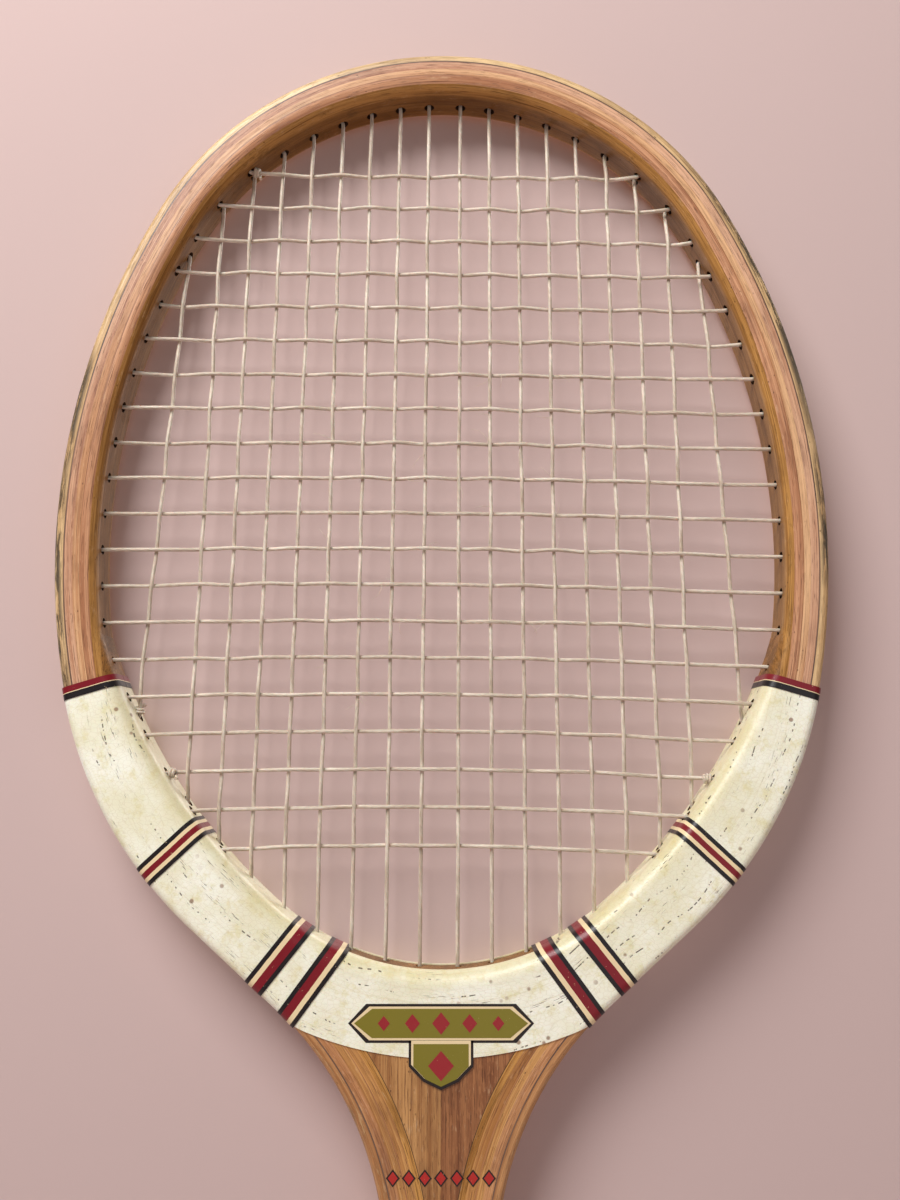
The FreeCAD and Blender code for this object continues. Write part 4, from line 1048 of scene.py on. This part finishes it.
def frays():
    """Loose fibres lifting off the strings in the middle of the bed."""
    draw = random.Random(21)
    parts = []
    middle = [entry for entry in CROSSINGS if abs(entry[2][0]) < 42 and 468 < entry[2][2] < 585]
    for _ in range(46):
        _, _, point = draw.choice(middle)
        on_cross = draw.random() < 0.6
        offset = draw.uniform(-3.5, 3.5)
        start = point + (np.array([offset, -0.9, 0]) if on_cross else np.array([0, -0.9, offset]))
        heading = draw.uniform(0, 2 * math.pi)
        bend = draw.uniform(-0.5, 0.5)
        length = draw.uniform(2.0, 7.0)
        path = []
        for index in range(9):
            part = index / 8
            angle = heading + bend * part * 2
            path.append(start + np.array([math.cos(angle), -0.22 * math.sin(math.pi * part),
                                          math.sin(angle)]) * length * part)
        parts.append(tube(path, np.linspace(0.11, 0.035, len(path)), 5))
    return merged(parts)


def strings():
    mains, crosses = main_path(), cross_path()
    for name, path, label in (("gut_mains", mains, "main_string"), ("gut_crosses", crosses, "cross_string")):
        vertices, faces, grain = tube(smooth(path), STRING_RADIUS)
        build(name, vertices, faces, GUT, {"grain": grain}, 60, [label], "gut_string")
    ends = [(FOOT[-MAIN_PAIRS], mains[3], 0.0)]
    for (row, side), turn in (((0, -1), 1.0), ((17, -1), 2.0), ((17, 1), 3.0)):
        ends.append((CROSS[row, side], (0.0, 0.0, TOP_CROSS - row * CROSS_PITCH), turn))
    knots = [knot(anchor, np.asarray(towards), turn, seed)
             for seed, (anchor, towards, turn) in enumerate(ends)]
    vertices, faces, grain = merged(knots)
    build("gut_knots", vertices, faces, GUT, {"grain": grain}, 60, ["string_knots"], "gut_string")
    vertices, faces, grain = frays()
    build("gut_frays", vertices, faces, GUT, {"grain": grain}, 60, None, "gut_string")


strings()


# ------------------------------------------------------------------ string holes in the rim

def painted_hole_shadow():
    """Painted shadow: near-black brown for the insides of the string holes and loop grooves, where only
    shade falls.
    """
    make = Shader("painted_hole_shadow")
    tone = make.noise(make.place(), 0.8, 3.0)
    colour = make.mix(tone, srgb(30, 18, 12), srgb(62, 40, 26))
    return make.finish(Base_Color=colour, Roughness=0.85, Specular_IOR_Level=0.1)


def worn_hole(anchor, mouth_radius):
    """A round hole through the rim, worn open at the bed's edge."""
    length = np.linalg.norm(anchor.exit - anchor.mouth)
    stops = (-1.5, -0.1, 0.4, 1.2, 2.2, length / 2, length + 2.0)
    radii = (mouth_radius * 1.1, mouth_radius, mouth_radius * 0.9, *[HOLE_RADIUS] * 4)
    return tube([anchor.mouth + anchor.out * stop for stop in stops], radii, 16)


def outside_pairs():
    """Pairs of holes with a loop of string between them on the outer edge."""
    yield HEAD[-1], HEAD[1]
    for side in (-1, 1):
        for number in range(2, MAIN_PAIRS, 2):
            yield HEAD[side * number], HEAD[side * (number + 1)]
        yield FOOT[side * (MAIN_PAIRS - 2)], FOOT[side * (MAIN_PAIRS - 1)]
    for row in range(CROSS_COUNT - 1):
        side = 1 if row % 2 == 0 else -1
        yield CROSS[row, side], CROSS[row + 1, side]


def cutter_of(name, parts, hole_shade):
    """One closed mesh of all the given tubes, to be cut out of the wood."""
    vertices, faces, _ = merged(parts)
    mesh = bpy.data.meshes.new(name)
    mesh.from_pydata((vertices * MM).tolist(), [], [list(face) for face in faces])
    # The painted shadow colour goes onto every face cut by these tubes.
    mesh.materials.append(hole_shade)
    face_outwards(mesh)
    mesh.polygons.foreach_set("use_smooth", [True] * len(mesh.polygons))
    cutter = linked(name, mesh)
    return cutter


def carry_over(source, shaped):
    """Gives the new points round the holes the values that the uncut surface has there."""
    places = [point.co.copy() for point in source.vertices]
    tree = BVHTree.FromPolygons(places, [tuple(face.vertices) for face in source.polygons])
    for key in ("grain", "inner", "stripe"):
        if key not in source.attributes:
            continue
        slot = "vector" if source.attributes[key].data_type == "FLOAT_VECTOR" else "value"
        size = 3 if slot == "vector" else 1
        before = np.zeros(len(source.vertices) * size, np.float32)
        source.attributes[key].data.foreach_get(slot, before)
        before = before.reshape(-1, size)
        after = np.zeros(len(shaped.vertices) * size, np.float32)
        shaped.attributes[key].data.foreach_get(slot, after)
        after = after.reshape(-1, size)
        for index in np.flatnonzero(np.all(after == 0, axis=1)):
            spot, _, face, _ = tree.find_nearest(shaped.vertices[index].co)
            corners = list(source.polygons[face].vertices)
            shares = poly_3d_calc([places[corner] for corner in corners], spot)
            after[index] = np.asarray(shares) @ before[corners]
        shaped.attributes[key].data.foreach_set(slot, after.ravel())


def drill(pieces):
    """Cuts the string holes and loop grooves round the head, then throws the cutters away."""
    draw = random.Random(5)
    # Painted shadow for the cut faces of the holes and grooves.
    hole_shade = painted_hole_shadow()
    open_feet = [FOOT[number] for number in NUMBERS if abs(number) > LAST_HIDDEN]
    grooves = [tube(smooth(outside_loop(*pair), 1.5), GROOVE_RADIUS, 16) for pair in outside_pairs()]
    cutters = [cutter_of("main_holes", [worn_hole(anchor, draw.uniform(1.45, 1.8))
                                        for anchor in [*HEAD.values(), *open_feet]], hole_shade),
               cutter_of("cross_holes", [worn_hole(anchor, draw.uniform(1.45, 1.8))
                                         for anchor in CROSS.values()], hole_shade),
               cutter_of("loop_grooves", grooves, hole_shade)]
    for piece in pieces:
        for cutter in cutters:
            cut = piece.modifiers.new(cutter.name, "BOOLEAN")
            cut.operation, cut.solver, cut.object = "DIFFERENCE", "MANIFOLD", cutter
            cut.material_mode = "TRANSFER"
        graph = bpy.context.evaluated_depsgraph_get()
        shaped = bpy.data.meshes.new_from_object(piece.evaluated_get(graph), depsgraph=graph,
                                                 preserve_all_data_layers=True)
        carry_over(piece.data, shaped)
        piece.modifiers.clear()
        piece.data = shaped
        shaped.set_sharp_from_angle(angle=math.radians(32))
    for cutter in cutters:
        bpy.data.objects.remove(cutter)


drill(DRILLED)


# ------------------------------------------------------------------ crest and diamonds

def plate(outline, low, high):
    """A thin flat plate on the front face, from one height above it to another."""
    count = len(outline)
    vertices = [(x, -HALF_DEPTH - height, z) for height in (low, high) for x, z in outline]
    faces = [tuple(range(count)), tuple(range(2 * count - 1, count - 1, -1))]
    faces += [(i, (i + 1) % count, count + (i + 1) % count, count + i) for i in range(count)]
    return np.array(vertices), faces, np.zeros(len(vertices))


def diamond(x, z, half_width, half_height):
    return [(x - half_width, z), (x, z + half_height), (x + half_width, z), (x, z - half_height)]


def plates(name, outlines, low, high, material, stands_for, slot):
    vertices, faces, _ = merged([plate(outline, low, high) for outline in outlines])
    build(name, vertices, faces, material, None, 30, stands_for, slot)


def crest():
    """A plain plaque with a row of diamonds over a small shield, in printed layers."""
    middle, half, rise, point = 389.0, 26.0, 5.2, 5.0
    layers = (("ink", 0.0, print_ink("crest_ink", INK)), ("cream", 0.7, print_ink("crest_cream", BUFF)),
              ("olive", 1.3, print_ink("crest_olive", OLIVE)))
    red = print_ink("crest_red", srgb(150, 30, 42))
    for index, (label, inset, material) in enumerate(layers):
        x, z = half - inset * 1.3, rise - inset
        plaque = [(-x, middle), (-x + point, middle + z), (x - point, middle + z), (x, middle),
                  (x - point, middle - z), (-x + point, middle - z)]
        side, foot = 9.0 - inset, 12.5 - inset * 1.4
        shield = [(-side, middle - rise + 0.6), (side, middle - rise + 0.6),
                  (side, middle - rise - foot / 2), (side * 0.55, middle - rise - foot * 0.82),
                  (0, middle - rise - foot), (-side * 0.55, middle - rise - foot * 0.82),
                  (-side, middle - rise - foot / 2)]
        if label == "olive":
            shield = [(x, z - 0.9) for x, z in shield]
        top = 0.42 + 0.05 * index
        plates(f"crest_{label}", [plaque, shield[::-1]], 0.0, top, material,
               ["throat_crest"] if index == 0 else None, "crest_transfer")
    marks = [diamond(x, middle, 2.5 - abs(x) * 0.05, 3.0 - abs(x) * 0.06) for x in (-16, -8, 0, 8, 16)]
    plates("crest_diamonds", marks, 0.4, 0.57, red, None, "crest_transfer")
    pips = [diamond(0, middle - 11.3, 3.6, 4.0)]
    plates("crest_shield_mark", pips, 0.4, 0.57, red, None, "crest_transfer")


def shaft_diamonds():
    """The row of small crimson diamonds with a dark outline low on the throat."""
    row = [(4.4 * place, 348.3) for place in range(-3, 4)]
    dark = [diamond(x, z, 1.9, 2.3) for x, z in row]
    bright = [diamond(x, z, 1.35, 1.7) for x, z in row]
    plates("diamonds_ink", dark, 0.0, 0.09, print_ink("diamond_ink", INK), ["throat_diamonds"],
           "red_transfer")
    plates("diamonds_red", bright, 0.05, 0.13, print_ink("diamond_red", srgb(176, 34, 34)), None,
           "red_transfer")


crest()
shaft_diamonds()


# ------------------------------------------------------------------ grip, collar and butt

# The bare handle's eight flats, as (direction in degrees, distance from the axis).
FLATS = ((0, 16.4), (45, 16.3), (90, 14.15), (135, 16.3),
         (180, 16.4), (225, 16.3), (270, 14.15), (315, 16.3))
CORNER_SHARPNESS = 26.0
AROUND = 144


def ring(radius, angles, height):
    """Points round the handle's axis at one height."""
    return np.stack([radius * np.cos(angles), radius * np.sin(angles), np.full(len(angles), height)], 1)


def grip_radius(angle):
    """Distance from the axis to the octagonal grip's surface, with softened corners."""
    total = np.zeros_like(np.asarray(angle, float))
    for facing, reach in FLATS:
        slant = np.clip(np.cos(angle - math.radians(facing)), 0, None) / reach
        total = total + slant ** CORNER_SHARPNESS
    return total ** (-1 / CORNER_SHARPNESS)


def octagon_skin(name, heights, growth, material, grain=None, **extra):
    """A sleeve round the handle; growth(height, angle) is its distance out from the bare wood."""
    angles = np.linspace(0, 2 * math.pi, AROUND, endpoint=False)
    vertices, fields = [], []
    for height in heights:
        vertices.append(ring(grip_radius(angles) + growth(height, angles), angles, height))
        if grain:
            fields.append(grain(height, angles))
    faces = ring_faces(len(heights), AROUND)
    attributes = {"grain": np.concatenate(fields)} if grain else None
    return build(name, np.concatenate(vertices), faces, material, attributes, **extra)


STRIP = 24.0
LEATHER_TOP, FLARE_TOP = 180.0, 23.0
TAPE_FOOT, TAPE_TOP = 174.8, 188.0


def flare(height):
    return 3.0 * np.clip((FLARE_TOP - height) / (FLARE_TOP - CAP_TOP), 0, 1) ** 1.15


def strip_place(height, angles):
    """Position across the spiral strip, from its lower edge."""
    return np.mod(height - STRIP * angles / (2 * math.pi), STRIP)


def leather_growth(height, angles):
    across = strip_place(height, angles)
    lap = 0.35 * np.clip(1 - across / 5.0, 0, 1) ** 0.8
    groove = 0.5 * np.exp(-((STRIP - across) / 0.7) ** 2) + 0.15 * np.exp(-(across / 0.5) ** 2)
    return 1.25 + lap - groove + flare(height)


def leather_grain(height, angles):
    across = strip_place(height, angles)
    turns = (height - across) / STRIP
    along = (angles / (2 * math.pi) + turns) * 105.0
    edge = np.minimum(across, STRIP - across)
    return np.stack([along, across, edge], 1)


def collar_growth(height, angles):
    part = np.clip((height - LEATHER_TOP - 1.0) / 3.5, 0, 1)
    wave = 0.12 * np.sin(3 * angles + height * 0.9) + 0.08 * np.sin(7 * angles - height)
    return 2.3 + (0.85 - 2.3) * (3 * part ** 2 - 2 * part ** 3) + wave * 0.6


def handle_coverings():
    octagon_skin("grip_wrap", np.linspace(CAP_TOP, LEATHER_TOP, 355), leather_growth, LEATHER,
                 grain=leather_grain, stands_for=["grip_leather"], slot="grip_leather")
    heights = np.linspace(TAPE_FOOT, TAPE_TOP, 34)

    def collar(height, angles):
        inset = max(0.0, 0.35 - (height - TAPE_FOOT)) + max(0.0, (height - 187.5) * 0.5)
        return collar_growth(height, angles) - inset

    octagon_skin("finishing_tape", heights, collar, TAPE, stands_for=["grip_collar"], slot="collar_tape")


def butt_cap():
    """Moulded end cap with rounded edge and a shallow dished face round the nail heads."""
    foot_growth = 3.2
    rings = ((CAP_TOP + 0.6, 4.3), (CAP_TOP, 4.75), (2.2, 4.8), (1.2, 4.7), (0.6, 4.4), (0.2, 3.9),
             (0.0, foot_growth))
    dish = ((0.93, 0.02), (0.90, 0.25), (0.86, 0.4), (0.5, 0.4), (0.2, 0.38), (0.02, 0.38))
    angles = np.linspace(0, 2 * math.pi, AROUND, endpoint=False)
    vertices = [ring(grip_radius(angles) + growth, angles, height) for height, growth in rings]
    for share, height in dish:
        vertices.append(ring((grip_radius(angles) + foot_growth) * share, angles, height))
    total = len(vertices) * AROUND
    faces = ring_faces(len(vertices), AROUND)
    faces.append(tuple(range(total - 1, total - AROUND - 1, -1)))
    build("end_cap", np.concatenate(vertices), faces, PLASTIC, stands_for=["butt_cap"], slot="butt_plastic")


handle_coverings()
butt_cap()


# ------------------------------------------------------------------ CAD pieces that stay

def finish_node(label, material):
    node = NODES[label]
    node.data.materials.clear()
    node.data.materials.append(material)


for kept_label, kept_material in (
        ("throat_bow", BOW), ("throat_wedge_left", BROWN_WEDGE), ("throat_wedge_right", DARK_WEDGE),
        ("vellum_throat_front", THROAT_VELLUM), ("vellum_throat_back", THROAT_VELLUM),
        ("handle_pallet_front", HANDLE_WOOD), ("handle_pallet_back", HANDLE_WOOD),
        ("handle_flake_left", HANDLE_WOOD), ("handle_flake_right", HANDLE_WOOD),
        ("butt_flare", HANDLE_WOOD), ("butt_tacks", BRASS), ("collar_tack", BRASS)):
    finish_node(kept_label, kept_material)


# ------------------------------------------------------------------ stage, light and camera

PALE = srgb(202, 179, 175)


def plane(name, corners, material):
    mesh = bpy.data.meshes.new(name)
    mesh.from_pydata(corners, [], [(0, 1, 2, 3)])
    sheet = linked(name, mesh)
    mesh.materials.append(material)


def floor_material():
    make = Shader("floor_paper")
    tone = make.noise(make.place(), 400.0, 3.0)
    return make.finish(Base_Color=make.mix(tone, PALE, tuple(value * 0.94 for value in PALE)), Roughness=0.9)


def wall_material():
    """Pale paper seen only from the front and never edge on, so it hides nothing from other sides."""
    make = Shader("wall_paper")
    tone = make.noise(make.place(), 300.0, 3.0)
    make.finish(Base_Color=make.mix(tone, PALE, tuple(value * 0.95 for value in PALE)), Roughness=0.95,
                Specular_IOR_Level=0.1)
    geometry = make.add("ShaderNodeNewGeometry")
    facing = make.add("ShaderNodeVectorMath", {0: geometry.outputs["Incoming"], 1: (0.0, -1.0, 0.0)},
                      operation="DOT_PRODUCT")
    shown = make.fade(facing.outputs["Value"], 0.25, 0.5)
    rays = make.add("ShaderNodeLightPath")
    shown = make.times(shown, make.math("SUBTRACT", 1.0, rays.outputs["Is Shadow Ray"]))
    clear = make.add("ShaderNodeBsdfTransparent")
    blend = make.add("ShaderNodeMixShader", {0: shown, 1: clear.outputs[0], 2: make.surface.outputs[0]})
    output = next(node for node in make.tree.nodes if node.type == "OUTPUT_MATERIAL")
    make.tree.links.new(blend.outputs[0], output.inputs["Surface"])
    return make.material


def area_light(name, place, target, size, power, colour):
    data = bpy.data.lights.new(name, "AREA")
    data.shape, data.size, data.energy, data.color = "SQUARE", size, power, colour
    lamp = linked(name, data)
    aim(lamp, place, target)


def aim(thing, place, target):
    thing.location = Vector(place)
    thing.rotation_mode = "QUATERNION"
    thing.rotation_quaternion = (Vector(target) - Vector(place)).to_track_quat("-Z", "Y")


def studio():
    reach = 4.0
    plane("floor", [(-reach, -reach, 0), (reach, -reach, 0), (reach, reach, 0), (-reach, reach, 0)],
          floor_material())
    back = 0.0098
    plane("wall", [(-reach, back, 0), (reach, back, 0), (reach, back, reach), (-reach, back, reach)],
          wall_material())
    world = bpy.data.worlds.new("studio")
    bpy.context.scene.world = world
    world.use_nodes = True
    background = world.node_tree.nodes["Background"]
    background.inputs["Color"].default_value = (0.80, 0.78, 0.78, 1.0)
    light, seen = 0.22, 0.75
    links, nodes = world.node_tree.links, world.node_tree.nodes
    rays, shade = nodes.new("ShaderNodeLightPath"), nodes.new("ShaderNodeMapRange")
    shade.inputs["To Min"].default_value, shade.inputs["To Max"].default_value = light, seen
    links.new(rays.outputs["Is Camera Ray"], shade.inputs["Value"])
    links.new(shade.outputs["Result"], background.inputs["Strength"])
    middle = (0.0, 0.0, 0.5)
    area_light("key", (-0.42, -0.66, 1.3), (0.0, 0.0, 0.66), 0.6, 15.4, (1.0, 0.99, 0.98))
    area_light("fill", (0.5, -1.3, 0.3), middle, 1.2, 3.0, (0.98, 0.98, 1.0))
    area_light("back_key", (0.7, 1.2, 1.3), middle, 1.0, 15.0, (1.0, 0.98, 0.95))
    area_light("back_fill", (-0.9, 1.2, 0.4), middle, 1.2, 9.0, (0.97, 0.98, 1.0))
    data = bpy.data.cameras.new("camera")
    data.lens, data.sensor_width = 33.0, 36.0
    data.clip_start, data.clip_end = 0.01, 50.0
    camera = linked("camera", data)
    place = (0.0025, -0.331, 0.460)
    pitch = math.radians(8.6)
    aim(camera, place, (place[0], place[1] + math.cos(pitch), place[2] + math.sin(pitch)))
    bpy.context.scene.camera = camera
    bpy.context.scene.view_settings.view_transform = "Standard"


studio()
